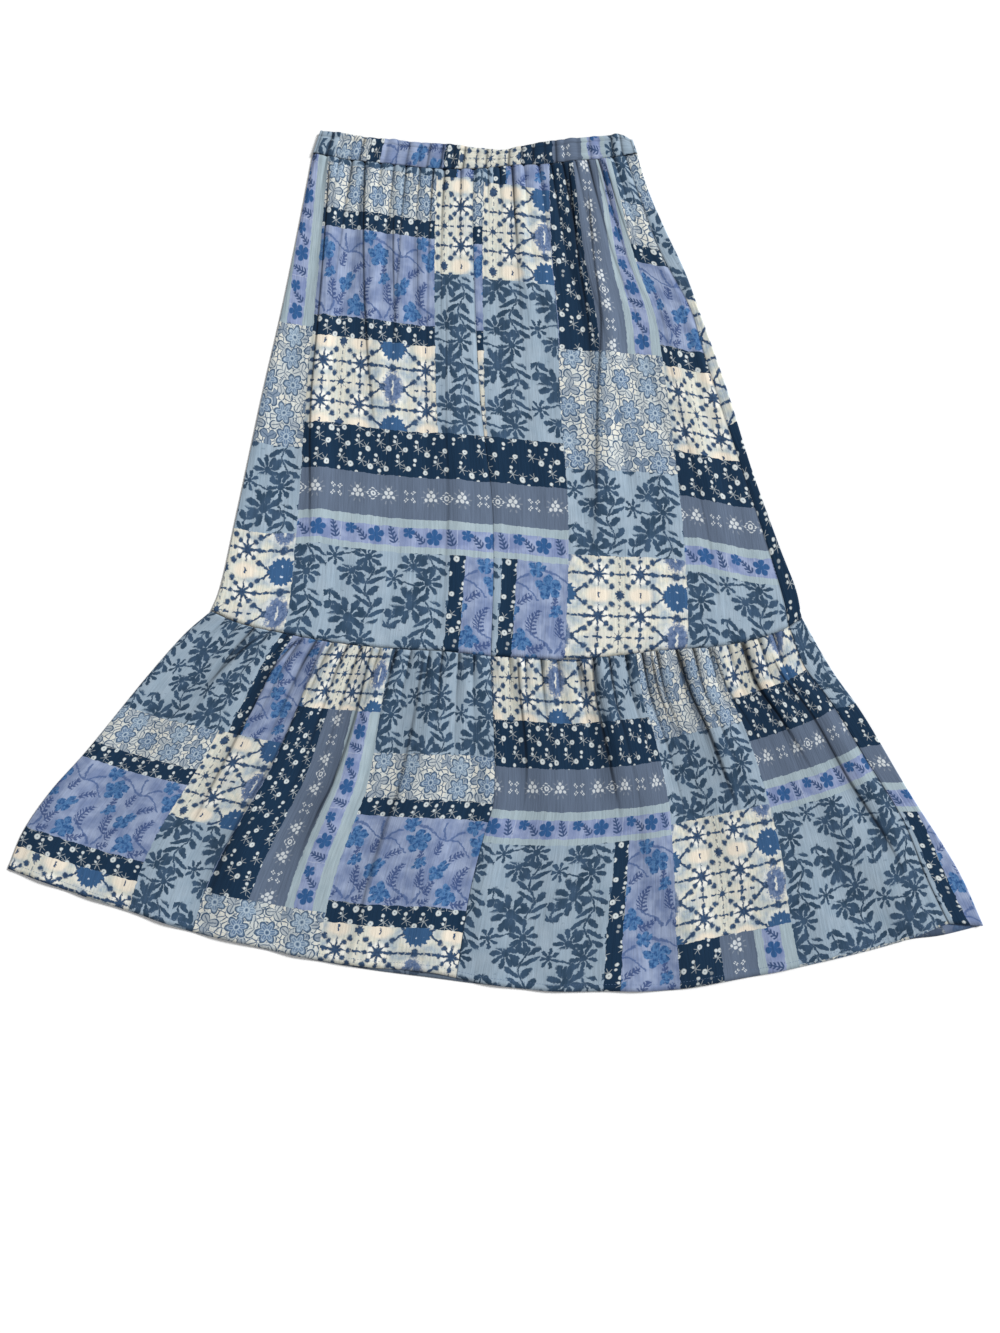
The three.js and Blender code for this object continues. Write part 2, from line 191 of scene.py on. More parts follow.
TIER_CENTRE_SEAM = outline([(-4, -125), (-1, -282), (-11, -319), (-26, -378), (-41, -470)])
TIER_SIDE_SEAM = outline([
    (324, -92), (339, -135), (367, -174), (402, -234), (443, -305), (464, -362), (487, -413)])
TIER_RIGHT_EDGE = outline([
    (339, -82), (347, -97), (371, -141), (401, -185), (450, -272), (501, -358), (525, -415)])

# The largest folds: share of the width at the top and at the bottom, share of the length from and to,
# width as a share, height in millimetres, and how dark the painted shade in the crease beside it is.
FRONT_LEFT_FOLDS = [
    (0.15, 0.375, 0.0, 0.8, 0.05, 3.5, 0.9),
    (0.37, 0.71, 0.0, 0.55, 0.06, 3.2, 0.9),
    (0.56, 0.74, 0.1, 0.38, 0.05, 2.5, 0.8),
    (0.7, 0.82, 0.14, 0.3, 0.04, 2.2, 0.7),
    (0.9, 0.86, 0.25, 0.95, 0.06, 1.5, 0.25),
]
FRONT_RIGHT_FOLDS = [
    (0.3, 0.14, 0.0, 0.35, 0.05, 2.0, 0.5),
    (0.65, 0.39, 0.0, 0.42, 0.05, 3.5, 1.0),
    (0.77, 0.305, 0.08, 0.78, 0.05, 3.2, 0.9),
    (0.82, 0.88, 0.0, 0.1, 0.04, 3.0, 0.9),
    (0.885, 0.95, 0.0, 0.2, 0.04, 3.0, 1.0),
    (0.95, 0.8, 0.3, 0.95, 0.05, 1.5, 0.25),
]
TIER_LEFT_FOLDS = [
    (0.25, 0.0, 0.03, 0.24, 0.04, 3.5, 0.9),
    (0.355, 0.24, 0.0, 0.18, 0.04, 3.5, 0.9),
    (0.33, 0.37, 0.1, 0.7, 0.04, 2.5, 0.6),
    (0.46, 0.47, 0.0, 0.9, 0.05, 3.0, 0.5),
    (0.62, 0.63, 0.0, 0.7, 0.04, 3.0, 0.7),
    (0.8, 0.8, 0.0, 0.95, 0.05, 3.0, 0.5),
]
TIER_RIGHT_FOLDS = [
    (0.125, 0.09, 0.0, 0.42, 0.04, 3.0, 0.8),
    (0.32, 0.43, 0.0, 0.13, 0.04, 3.5, 0.9),
    (0.36, 0.38, 0.0, 0.46, 0.045, 4.2, 1.0),
    (0.56, 0.6, 0.0, 0.24, 0.04, 3.5, 0.9),
    (0.65, 0.71, 0.0, 0.5, 0.05, 4.6, 1.0),
    (0.76, 0.8, 0.0, 0.3, 0.03, 2.5, 0.7),
    (0.87, 0.9, 0.0, 0.4, 0.04, 4.5, 1.0),
    (0.9325, 0.99, 0.08, 0.78, 0.03, 3.5, 1.3),
]
BACK_FOLDS = [
    (0.2, 0.24, 0.0, 0.6, 0.02, 1.0, 0.6),
    (0.45, 0.44, 0.0, 0.8, 0.02, 1.0, 0.6),
    (0.7, 0.74, 0.0, 0.5, 0.02, 1.0, 0.6),
]


def uneven(index, kind):
    """A repeatable number from 0 to 1 that differs from one gather to the next."""
    wave = math.sin(index * 12.9898 + kind * 78.233) * 43758.5453
    return wave - math.floor(wave)


def uneven_row(count, kind):
    return np.array([uneven(k, kind) for k in range(count)])


def smooth(low, high, value):
    share = np.clip((value - low) / (high - low), 0, 1)
    return share * share * (3 - 2 * share)


def mix(a, b, share):
    return a + (b - a) * share


def bell(distance, width):
    """1 on a line, and softly less beside it."""
    return np.exp(-(distance / width) ** 2)


def sway(across, down, height, waves, lean, lean_waves, shift=0.0):
    """Shallow waves across the cloth that lean one way and the other as they run down."""
    return height * np.sin(across * waves + lean * np.sin(down * lean_waves) + shift)


def along(line):
    """The x and y of a line as a function of the share of its length."""
    steps = np.linalg.norm(np.diff(line, axis=0), axis=1)
    places = np.concatenate([[0], np.cumsum(steps)]) / steps.sum()
    return lambda share: np.stack([np.interp(share, places, line[:, axis]) for axis in (0, 1)], -1)


def stretch(line, start, end):
    """The part of a line between two values of x."""
    ends = [[x, np.interp(x, line[:, 0], line[:, 1])] for x in (start, end)]
    return np.vstack([ends[:1], line[(line[:, 0] > start) & (line[:, 0] < end)], ends[1:]])


def patch(left, right, top, bottom, across, down):
    """Points of the patch between four edges, for a grid of shares."""
    left, right, top, bottom = (along(edge) for edge in (left, right, top, bottom))
    s = across[None, :, None]
    t = down[:, None, None]
    sides = mix(left(down)[:, None, :], right(down)[:, None, :], s)
    ends = mix(top(across)[None, :, :], bottom(across)[None, :, :], t)
    corners = mix(mix(top(0.0), top(1.0), s), mix(bottom(0.0), bottom(1.0), s), t)
    return sides + ends - corners


def gather_edges(count):
    middle = [(k + GATHER_DRIFT * (uneven(k, 1) - 0.5)) / count for k in range(1, count)]
    return np.array([0.0, *middle, 1.0])


def gather_places(count, across):
    """The gather at each place, the share of its width passed there, and the valley nearest to it."""
    edges = gather_edges(count)
    index = np.clip(np.searchsorted(edges, across, side="right") - 1, 0, count - 1)
    share = (across - edges[index]) / (edges[index + 1] - edges[index])
    return index, share, np.where(share < 0.5, index, index + 1)


def gather_relief(count, across, down, height):
    """How high the gathers stand, and the painted shade in the valleys between them."""
    index, share, nearest = gather_places(count, across)
    reach = GATHER_REACH * (0.5 + 1.6 * uneven_row(count, 2))[index]
    size = height * (0.6 + 0.4 * uneven_row(count, 3))[index]
    deep = uneven_row(count + 1, 5)[nearest]
    from_valley = np.minimum(share, 1 - share)
    down = down[:, None]
    valley_reach = np.exp(-down / (0.04 + 0.22 * deep ** 2))
    valley = bell(from_valley, VALLEY_WIDTH)
    relief = size * np.sin(np.pi * share) ** 1.2 * np.exp(-down / reach)
    relief += 0.3 * size * np.sin(2 * np.pi * share) ** 2 * np.exp(-down / SMALL_PLEAT_REACH)
    relief -= VALLEY_DEPTH * height * valley * valley_reach
    # Painted shade in the valleys between gathers, darker in deeper valleys and fading down the cloth.
    shade = (0.12 + 0.88 * deep ** 1.8) * (valley + 0.3 * bell(from_valley, VALLEY_SHADE_WIDTH)) * valley_reach
    return relief, shade


def fold_relief(folds, across, down):
    """How high the large folds stand, and the painted shade in the creases beside them."""
    relief = np.zeros((len(down), len(across)))
    crease_shade = np.zeros_like(relief)
    for top, bottom, start, end, width, height, dark in folds:
        centre = mix(top, bottom, down)[:, None] + FOLD_SWAY * np.sin(down * 9 + top * 40)[:, None]
        offset = (across[None, :] - centre) / width
        ends = (smooth(start - 0.04, start + 0.05, down) * (1 - smooth(end - 0.2, end + 0.1, down)))[:, None]
        groove = bell(offset + GROOVE_PLACE, 0.1) * ends
        # Painted shade beside each fold: a dark line in the groove and a softer shade on its far side.
        shade = bell(offset + GROOVE_PLACE, 0.45) * ends * (offset < -GROOVE_PLACE)
        relief += height * (bell(offset, 1) * ends - 0.3 * groove)
        crease_shade += dark * (groove + 0.28 * shade)
    return relief, crease_shade


def front_rest(down):
    """The height of the front layer's middle over the floor, which is more where the back is gathered."""
    return CLOTH_WALL * 1.5 + LAYER_GAP + BACK_GATHER_HEIGHT * np.exp(-down / (GATHER_REACH * 2.1))


def seam_dip(distance):
    return SEAM_DIP * bell(distance, SEAM_DIP_REACH)


def with_shade_lines(dark, lines):
    """Adds lines of painted shade, each from the distance to it, how dark it is and its width."""
    for distance, shade, width in lines:
        dark = np.maximum(dark, shade * bell(distance, width))
    return dark


def running_length(points, axis):
    """The way from the first point, down each column or along each row."""
    steps = np.linalg.norm(np.diff(points, axis=axis), axis=2)
    return np.insert(np.cumsum(steps, axis), 0, 0, axis)


# Meshes

def grid_faces(rows, columns, start, flip, closed=False):
    """Four-sided faces of a grid of points, row after row."""
    r, c = np.meshgrid(np.arange(rows - 1), np.arange(columns if closed else columns - 1), indexing="ij")
    here = start + r * columns + c
    right = start + r * columns + (c + 1) % columns
    quads = np.stack([here, here + columns, right + columns, right], -1).reshape(-1, 4)
    return quads[:, ::-1] if flip else quads


def mesh_piece(name, points, faces, uv, marks, material):
    """An object of smooth four-sided faces, with its print map and its marks on the points."""
    mesh = bpy.data.meshes.new(name)
    mesh.vertices.add(len(points))
    mesh.vertices.foreach_set("co", (np.asarray(points, np.float32) * MM).ravel())
    faces = np.asarray(faces, np.int32)
    mesh.loops.add(faces.size)
    mesh.loops.foreach_set("vertex_index", faces.ravel())
    mesh.polygons.add(len(faces))
    mesh.polygons.foreach_set("loop_start", np.arange(0, faces.size, 4, dtype=np.int32))
    mesh.polygons.foreach_set("loop_total", np.full(len(faces), 4, np.int32))
    mesh.polygons.foreach_set("use_smooth", np.full(len(faces), True))
    layer = mesh.uv_layers.new(name="print")
    layer.data.foreach_set("uv", np.asarray(uv, np.float32)[faces.ravel()].ravel())
    for mark, values in marks.items():
        attribute = mesh.attributes.new(mark, "FLOAT", "POINT")
        attribute.data.foreach_set("value", np.asarray(values, np.float32).ravel())
    mesh.update(calc_edges=True)
    mesh.validate()
    piece = bpy.data.objects.new(name, mesh)
    bpy.context.scene.collection.objects.link(piece)
    mesh.materials.append(material)
    return piece


def surface_normals(points, closed=False):
    """Unit normals of a grid of points, pointing up where rows run down and columns run right."""
    run = np.roll(points, -1, 1) - np.roll(points, 1, 1) if closed else np.gradient(points, axis=1)
    normal = np.cross(np.gradient(points, axis=0), run)
    return normal / np.linalg.norm(normal, axis=2, keepdims=True)


def cloth_shell(name, middle, uv, crease_shade, material, outward=1, closed=False):
    """A closed thin shell around a grid of middle points. Outward is 1 where the printed face is on top."""
    rows, columns = middle.shape[:2]
    offset = surface_normals(middle, closed) * outward * (SHELL_WALL / 2)
    points = np.vstack([(middle + offset).reshape(-1, 3), (middle - offset).reshape(-1, 3)])
    count = rows * columns
    up = outward > 0
    faces = [grid_faces(rows, columns, 0, not up, closed), grid_faces(rows, columns, count, up, closed)]
    top = np.arange(columns)
    left = np.arange(rows) * columns
    rims = [(top, up), (top + count - columns, not up)]
    if not closed:
        rims += [(left, not up), (left + columns - 1, up)]
    for rim, flip in rims:
        ends = len(rim) if closed else len(rim) - 1
        a, b = rim[:ends], np.roll(rim, -1)[:ends]
        quads = np.stack([a, b, b + count, a + count], -1)
        faces.append(quads if flip else quads[:, ::-1])
    # The marks: painted shade for the outer face and a share of it for the inner face, and which face is the inner one,
    # whose colour the cloth darkens as painted shade.
    marks = {
        "crease_shade": np.concatenate([crease_shade.ravel(), crease_shade.ravel() * INNER_CREASE_SHADE]),
        "inside": np.repeat([0.0, 1.0], count),
    }
    flat_uv = (uv.reshape(-1, 2) + PRINT_START) / PRINT_SPAN
    return mesh_piece(name, points, np.vstack(faces), np.vstack([flat_uv, flat_uv]), marks, material)


def patch_edges(left, right, seam_top, seam_bottom, top_ends, bottom_ends):
    return left, right, stretch(seam_top, *top_ends), stretch(seam_bottom, *bottom_ends)


def print_map(first_u, second_u, top_v, bottom_v, by_sides=False):
    """Print positions of a panel, from tables of a share of an edge and the position there.

    The positions across come from the panel's upper and lower ends, or from its left and right sides."""
    def positions(across, down):
        s, t = np.meshgrid(across, down)
        u_place, u_way = (t, s) if by_sides else (s, t)
        u1, u2 = (np.interp(u_place, *zip(*rows)) for rows in (first_u, second_u))
        v1, v2 = (np.interp(s, *zip(*rows)) for rows in (top_v, bottom_v))
        return np.stack([mix(u1, u2, u_way), mix(v1, v2, t)], -1)
    return positions


def spaced_rows(count, lean):
    """Shares of the length, closer together near the gathered seam."""
    even = np.linspace(0, 1, count)
    return mix(even, even ** 2, lean)


def half_turn(count):
    """Angles round a fold, without its two ends."""
    return np.radians(np.linspace(-90, 90, count + 2)[1:-1])


def front_panel(name, edges, size, gathers, gather_size, folds, positions, material, ridge=0.0, hem=False):
    """A front panel lies over the back and is sewn to its neighbours in shallow valleys."""
    across = np.linspace(0, 1, size[0])
    down = spaced_rows(size[1], 0.35)
    t = down[:, None]
    plan = patch(*edges, across, down)
    width = np.linalg.norm(np.diff(plan, axis=1), axis=2).sum(1)[:, None]
    length = np.linalg.norm(np.diff(plan, axis=0), axis=2).sum(0)
    from_left, from_right = across * width, (1 - across) * width
    from_top, from_bottom = t * length, (1 - t) * length

    inside = smooth(0, 0.03, across) * (1 - smooth(0.97, 1, across))
    gather, valley = gather_relief(gathers, across, down, gather_size)
    fold, crease_shade = fold_relief(folds, across, down)
    waves = sway(across, t, 0.35, 31, 2.3, 5) * smooth(0.05, 0.3, t)
    waves = waves + 0.25 * np.sin(across * 67 + t * 7 + 1.3)
    # Painted shade in the fold creases and the gather valleys.
    dark = np.clip((crease_shade + valley) * inside, 0, 1)
    if hem:
        waves += sway(across, t, 0.8, 43, 1.5, 4) * smooth(0.1, 0.6, t)
        # Painted shade over the whole tier, a little uneven across.
        dark = np.clip(dark + TIER_SHADE + sway(across, t, 0.05, 29, 2, 4, 2), 0, 1)
    height = front_rest(t) + inside * (gather + fold + waves + PANEL_PUFF) + ridge * smooth(0.93, 0.99, across)
    height -= seam_dip(from_right) + seam_dip(from_top)
    # Painted shade along the seams at the top and the right, darker beside the side ridge.
    lines = [(from_top, 0.25, 1.5), (from_right, 0.75 if ridge else 0.35, 1.2)]
    if not hem:
        height -= seam_dip(from_bottom)
    if ridge:
        height -= seam_dip(from_left)
        # Painted shade along the left seam.
        lines.append((from_left, 0.35, 1.0))
    else:
        height -= (height - LEFT_FOLD_REST) * (1 - smooth(0, 5, from_left)) ** 1.5
    if hem:
        turned_up = 1 - smooth(HEM_DEPTH - 1.5, HEM_DEPTH + 1.5, from_bottom)
        height += HEM_STEP * (turned_up - bell(from_bottom - HEM_DEPTH, 1.2))
        # Painted shade along the edge of the turned hem.
        lines.append((from_bottom - HEM_DEPTH, 0.3, 0.9))

    plan[:, 0, 0] += SEAM_SLIT
    plan[:, -1, 0] -= SEAM_SLIT
    plan[0, :, 1] -= SEAM_SLIT
    plan[-1, :, 1] += SEAM_SLIT
    middle = np.dstack([plan, height])
    return cloth_shell(name, middle, positions(across, down), with_shade_lines(dark, lines), material), middle


def back_panel(name, edges, side, size, gathers, material, start_u, widths, ends_v, hem=False):
    """A back panel lies under the front, turns up round the right edge and ends at the side seam on top."""
    across = np.linspace(0, 1, size[0])
    down = spaced_rows(size[1], 0.3)
    left, right, top, bottom, seam = (along(edge) for edge in (*edges, side))
    rest = CLOTH_WALL / 2
    relief, valley = gather_relief(gathers, across, down, BACK_GATHER_HEIGHT)
    fold, groove = fold_relief(BACK_FOLDS, across, down)
    inside = smooth(0, 0.03, across) * (1 - smooth(0.95, 0.99, across))
    gathered = 1 - smooth(0.28, 0.45, down)
    turns = half_turn(FOLD_STEPS)
    strip = np.linspace(0, 1, STRIP_STEPS)

    def plan(share, t):
        """Points of the flat patch at one share of the length."""
        share = np.atleast_1d(share)[:, None]
        corners = mix(mix(top(0.0), top(1.0), share), mix(bottom(0.0), bottom(1.0), share), t)
        return mix(left(t), right(t), share) + mix(top(share[:, 0]), bottom(share[:, 0]), t) - corners

    rows, marks = [], []
    for r, t in enumerate(down):
        start, end, sewn = left(t), right(t), seam(t)
        turn_x = end[0] - FOLD_RADIUS - rest

        def share_at(x):
            return (np.asarray(x) - start[0]) / (end[0] - start[0])

        flat = plan(across * share_at(turn_x), t)
        lift = (relief[r] * gathered[r] + 0.5 * fold[r]) * inside
        turn = turn_x + FOLD_RADIUS * np.cos(turns)
        slip = sewn[1] - plan(share_at(sewn[0]), t)[0, 1]
        on_top = mix(turn_x, sewn[0] + SEAM_SLIT, strip)
        from_seam = np.abs(on_top - sewn[0])
        strip_z = mix(rest + 2 * FOLD_RADIUS, front_rest(t) + SIDE_RIDGE_HEIGHT * 0.2, strip) - seam_dip(from_seam)
        parts = (
            (flat[:, 0], flat[:, 1], rest + np.clip(lift, 0, None)),
            (turn, plan(share_at(turn), t)[:, 1], rest + FOLD_RADIUS * (1 + np.sin(turns))),
            (on_top, plan(share_at(on_top), t)[:, 1] + slip * strip, strip_z),
        )
        rows.append(np.hstack([np.array(part) for part in parts]).T)
        # Painted shade in the gather valleys and fold creases, and along the side seam.
        shade = np.clip(0.7 * valley[r] * gathered[r] + groove[r], 0, 1) * inside
        marks.append(np.concatenate([shade, np.zeros(len(turns)), 0.55 * bell(from_seam, 1.0)]))
    middle = np.array(rows)
    middle[0, :, 1] -= SEAM_SLIT
    middle[-1, :, 1] += SEAM_SLIT
    places = running_length(middle, 1)
    u = start_u + (1 - places / places[:, -1:]) * mix(*widths, down)[:, None]
    v = np.broadcast_to(mix(*ends_v, down)[:, None], u.shape)
    # Painted shade along the upper seam and the edge of the turned hem.
    lines = [((down * UPPER_LENGTH)[:, None], 0.6, 1.5)]
    if hem:
        lines.append((((1 - down) * TIER_LENGTH - HEM_DEPTH)[:, None], 0.5, 0.9))
    dark = with_shade_lines(np.array(marks), lines)
    return cloth_shell(name, middle, np.stack([u, v], -1), dark, material, outward=-1), middle


def waistband(name, material):
    """The band is a flattened ring of doubled cloth, drawn up by the elastic inside it."""
    top, bottom = along(BAND_TOP), along(WAIST_SEAM)
    half = BAND_WALL / 2
    radius = (BAND_WALL + BAND_RING_GAP) / 2
    middle_z = half + radius
    bend = radius + half * 0.6
    across = np.linspace(0, 1, BAND_COLUMNS + 1)[1:-1]
    index, share, nearest = gather_places(BAND_GATHERS, across)
    crest = (0.3 + 0.7 * uneven_row(BAND_GATHERS, 3))[index] * np.sin(np.pi * share) ** 1.1
    depth = uneven_row(BAND_GATHERS + 1, 6)[nearest]
    from_valley = np.minimum(share, 1 - share)
    # Painted shade in the valleys between the band's gathers, darker where they are deeper.
    valley = bell(from_valley, 0.1) * (0.12 + 0.88 * depth ** 2) + 0.25 * depth * bell(from_valley, 0.28)
    edges = gather_edges(BAND_GATHERS)
    ruffle = BAND_EDGE_RUFFLE * (uneven_row(BAND_GATHERS, 4) - 0.5)
    ruffle = np.interp(across, (edges[1:] + edges[:-1]) / 2, ruffle)
    turns = half_turn(BAND_TURN_STEPS)
    down = np.linspace(0, 1, BAND_ROWS)

    rows, darks = [], []
    for t in down:
        def place(s):
            return mix(top(s), bottom(s) + [0, 0.3], t)

        def turn(end, inward):
            """The bend of the ring round one end of the band."""
            x = end[0] + inward * (middle_z - bend * np.cos(turns))
            return np.stack([x, np.full(len(turns), end[1]), middle_z + bend * np.sin(turns)], -1)

        left, right, flat = place(0.0), place(1.0), place(across)
        x = mix(left[0] + middle_z, right[0] - middle_z, (flat[:, 0] - left[0]) / (right[0] - left[0]))
        y = flat[:, 1] + ruffle * (1 - t)
        channel = 1 - 0.55 * (bell(t - 0.2, 0.05) + bell(t - 0.9, 0.05))
        puff = math.sin(math.pi * t) ** 0.35
        lift = BAND_GATHER_HEIGHT * crest * channel - 0.5 * (1 - puff)
        under = 0.45 * (crest * channel - 1)
        low = np.stack([x, y, middle_z - radius - half * 0.35 - under * 0.5], -1)
        high = np.stack([x, y, middle_z + bend + lift - 0.4], -1)
        rows.append(np.vstack([low, turn(right, -1), high[::-1], turn(left, 1)[::-1]]))
        # Painted shade along the band's channel line and its lower edge, added to the valleys' painted shade; the lower
        # layer gets less.
        line = 0.3 * (bell(t - 0.2, 0.03) + bell(t - 0.97, 0.05))
        shade = np.clip(valley + line, 0, 1)
        side_shade = np.full(len(turns), line)
        darks.append(np.concatenate([shade * 0.7, side_shade, shade[::-1], side_shade]))
    middle = np.array(rows)
    count = middle.shape[1]
    steps = np.linalg.norm(np.roll(middle, -1, 1) - middle, axis=2)
    ring = np.concatenate([np.zeros((len(down), 1)), np.cumsum(steps, 1)[:, :-1]], 1) / steps.sum(1, keepdims=True)
    top_left = (2 * len(across) + len(turns)) / count
    v = (top_left - ring) * BAND_PRINT_ROUND - BAND_PRINT_SHIFT
    u = np.repeat(mix(*BAND_PRINT_ENDS, down)[:, None], count, 1)
    return cloth_shell(name, middle, np.stack([u, v], -1), np.array(darks), material, outward=-1, closed=True)


# Stitches

def stitch_tree(thread):
    """Lays one stitch after another along a line of points."""
    tree = bpy.data.node_groups.new("row_of_stitches", "GeometryNodeTree")
    face = tree.interface
    face.new_socket("Line", in_out="INPUT", socket_type="NodeSocketGeometry")
    for name in STITCH_SIZES:
        face.new_socket(name, in_out="INPUT", socket_type="NodeSocketFloat")
    face.new_socket("Stitches", in_out="OUTPUT", socket_type="NodeSocketGeometry")
    start, curve, points, stitch, size, shaped, turn, place, realize, finish, end = (
        tree.nodes.new(kind) for kind in (
            "NodeGroupInput", "GeometryNodeMeshToCurve", "GeometryNodeCurveToPoints", "GeometryNodeMeshUVSphere",
            "ShaderNodeCombineXYZ", "GeometryNodeTransform", "FunctionNodeAlignRotationToVector",
            "GeometryNodeInstanceOnPoints", "GeometryNodeRealizeInstances", "GeometryNodeSetMaterial",
            "NodeGroupOutput"))
    points.mode = "LENGTH"
    turn.axis = "X"
    for name, value in (("Segments", 6), ("Rings", 4), ("Radius", 1.0)):
        stitch.inputs[name].default_value = value
    finish.inputs["Material"].default_value = thread
    for source, output, target, entry in (
            (start, "Line", curve, "Mesh"), (curve, "Curve", points, "Curve"),
            (start, "Spacing", points, "Length"), (start, "Stitch Length", size, "X"),
            (start, "Thread Radius", size, "Y"), (start, "Thread Radius", size, "Z"),
            (stitch, "Mesh", shaped, "Geometry"), (size, "Vector", shaped, "Scale"),
            (points, "Tangent", turn, "Vector"), (points, "Points", place, "Points"),
            (shaped, "Geometry", place, "Instance"), (turn, "Rotation", place, "Rotation"),
            (place, "Instances", realize, "Geometry"), (realize, "Geometry", finish, "Geometry"),
            (finish, "Geometry", end, "Stitches")):
        tree.links.new(source.outputs[output], target.inputs[entry])
    return tree


def stitch_row(name, lines, tree):
    """Stitches along lines of points in millimetres, as one plain mesh."""
    points, edges = [], []
    for line in lines:
        first = len(points)
        points += [tuple(point * MM) for point in line]
        edges += [(first + k, first + k + 1) for k in range(len(line) - 1)]
    path = bpy.data.meshes.new(name + "_line")
    path.from_pydata(points, edges, [])
    guide = bpy.data.objects.new(name + "_line", path)
    bpy.context.scene.collection.objects.link(guide)
    modifier = guide.modifiers.new("stitches", "NODES")
    modifier.node_group = tree
    for socket in tree.interface.items_tree:
        if socket.in_out == "INPUT" and socket.name in STITCH_SIZES:
            modifier[socket.identifier] = STITCH_SIZES[socket.name] * MM
    seen = guide.evaluated_get(bpy.context.evaluated_depsgraph_get())
    mesh = bpy.data.meshes.new_from_object(seen)
    mesh.name = name
    bpy.data.objects.remove(guide)
    row = bpy.data.objects.new(name, mesh)
    bpy.context.scene.collection.objects.link(row)
    return row


def line_on(middle, from_end, side=1, last=None):
    """Points on a sheet's face at one distance from its lower edge."""
    upwards = middle[::-1]
    places = running_length(upwards, 0)
    points = []
    for c in range(2, (last or middle.shape[1]) - 2, 2):
        point = np.array([np.interp(from_end, places[:, c], upwards[:, c, axis]) for axis in range(3)])
        points.append(point + [0, 0, side * (SHELL_WALL / 2 + STITCH_LIFT)])
    return points


# Materials. The prints are drawn in units of the print, from formulas over its place across and down.

def colour(code):
    """A colour as the shader needs it, from its usual six-figure code."""
    values = [int(code[i:i + 2], 16) / 255 for i in (0, 2, 4)]
    return tuple(v / 12.92 if v <= 0.04045 else ((v + 0.055) / 1.055) ** 2.4 for v in values) + (1.0,)


class Field:
    """A value that varies over a material. Arithmetic on it adds the nodes that work it out."""

    def __init__(self, tree, socket=None):
        self.tree = tree
        self.socket = socket

    def node(self, kind, settings=None, inputs=None, output=0):
        made = self.tree.nodes.new(kind)
        for name, value in (settings or {}).items():
            setattr(made, name, value)
        for key, value in (inputs or {}).items():
            if isinstance(value, Field):
                self.tree.links.new(value.socket, made.inputs[key])
            else:
                made.inputs[key].default_value = value
        return Field(self.tree, made.outputs[output])

    def output(self, which):
        """Another output of the node that this value comes from."""
        return Field(self.tree, self.socket.node.outputs[which])

    def parts(self):
        """The three numbers of a vector or a colour."""
        first = self.node("ShaderNodeSeparateXYZ", {}, {0: self})
        return first, first.output(1), first.output(2)

    def math(self, operation, *others, clamp=False):
        inputs = dict(enumerate((self, *others)))
        return self.node("ShaderNodeMath", {"operation": operation, "use_clamp": clamp}, inputs)

    def __add__(self, other):
        return self.math("ADD", other)

    def __sub__(self, other):
        return self.math("SUBTRACT", other)

    def __mul__(self, other):
        return self.math("MULTIPLY", other)

    def __truediv__(self, other):
        return self.math("DIVIDE", other)

    def __abs__(self):
        return self.math("ABSOLUTE")

    def __mod__(self, period):
        return self.math("WRAP", period, 0.0)

    def scaled(self, factor, added, clamp=False):
        return self.math("MULTIPLY_ADD", factor, added, clamp=clamp)

    def sine(self):
        return self.math("SINE")

    def cosine(self):
        return self.math("COSINE")

    def angle(self, x):
        """The angle round the origin, from the place down, which this is, and the place across."""
        return self.math("ARCTAN2", x)

    def fold(self, period):
        """Runs up and down between 0 and the period."""
        return self.math("PINGPONG", period)

    def below(self, limit, soft=0.8):
        """1 where the value is under the limit, 0 above it, with a soft step between."""
        if isinstance(limit, Field):
            return (limit - self).scaled(1 / soft, 0.5, clamp=True)
        return self.scaled(-1 / soft, limit / soft + 0.5, clamp=True)

    def above(self, limit, soft=0.8):
        return self.scaled(1 / soft, 0.5 - limit / soft, clamp=True)

    def near(self, place, reach, soft=0.8):
        """1 within a reach on both sides of a place."""
        return abs(self - place).below(reach, soft)

    def minus(self, other):
        return self.math("SUBTRACT", other, clamp=True)

    def blend(self, first, second):
        """Mixes two colours by this value. Each is a field or a six-figure code."""
        inputs = {0: self, 6: first, 7: second}
        for key in (6, 7):
            if isinstance(inputs[key], str):
                inputs[key] = colour(inputs[key])
        return self.node("ShaderNodeMix", {"data_type": "RGBA", "clamp_factor": True}, inputs, output=2)

    def choose(self, first, second):
        """Mixes two numbers by this value."""
        return self.node("ShaderNodeMix", {"data_type": "FLOAT"}, {0: self, 2: first, 3: second})


def painted(ground, *layers):
    """Colours laid over a ground one after another, each with the field that says where it covers."""
    for cover, tone in layers:
        ground = cover.blend(ground, tone)
    return ground


def union(*shapes):
    """The shapes together."""
    whole = shapes[0]
    for shape in shapes[1:]:
        whole = whole.math("MAXIMUM", shape)
    return whole


def hypot(x, y):
    return x.scaled(x, y * y).math("SQRT")


def dots(x, y, rows):
    """Round spots, each with its place across and down, its radius and how soft its rim is."""
    return union(*(hypot(x - left, y - top).below(radius, soft) for left, top, radius, soft in rows))


def centred(value, centre, period):
    """The distance from a centre that comes back with every period, with its sign."""
    return (value - centre).math("WRAP", period / 2, -period / 2)


def drops(x, y, radius, petals, turn, width):
    """A flower of separate drop-shaped petals round its middle. X and y start from there."""
    away = hypot(x, y)
    angle = (y.angle(x) + turn).fold(math.pi / petals)
    out = (away * angle.cosine()).scaled(1 / (0.4 * radius), -1.55)
    beside = away * angle.sine() / (width * radius) * out.scaled(-0.3, 1.0)
    return union(hypot(out, beside).below(1.0, 0.22), away.below(0.26 * radius, 0.8))


def blossom(x, y, radius, turn, petals=5):
    """A small full flower with round petals and a light eye."""
    away = hypot(x, y)
    swell = abs(y.angle(x).scaled(petals / 2, turn).cosine())
    edge = swell.math("SQRT").scaled(0.5 * radius, 0.45 * radius)
    slits = (away * swell).below(0.7, 0.8) * away.above(0.3 * radius, 1.0)
    return away.below(edge, 1.0).minus(slits * 0.35)


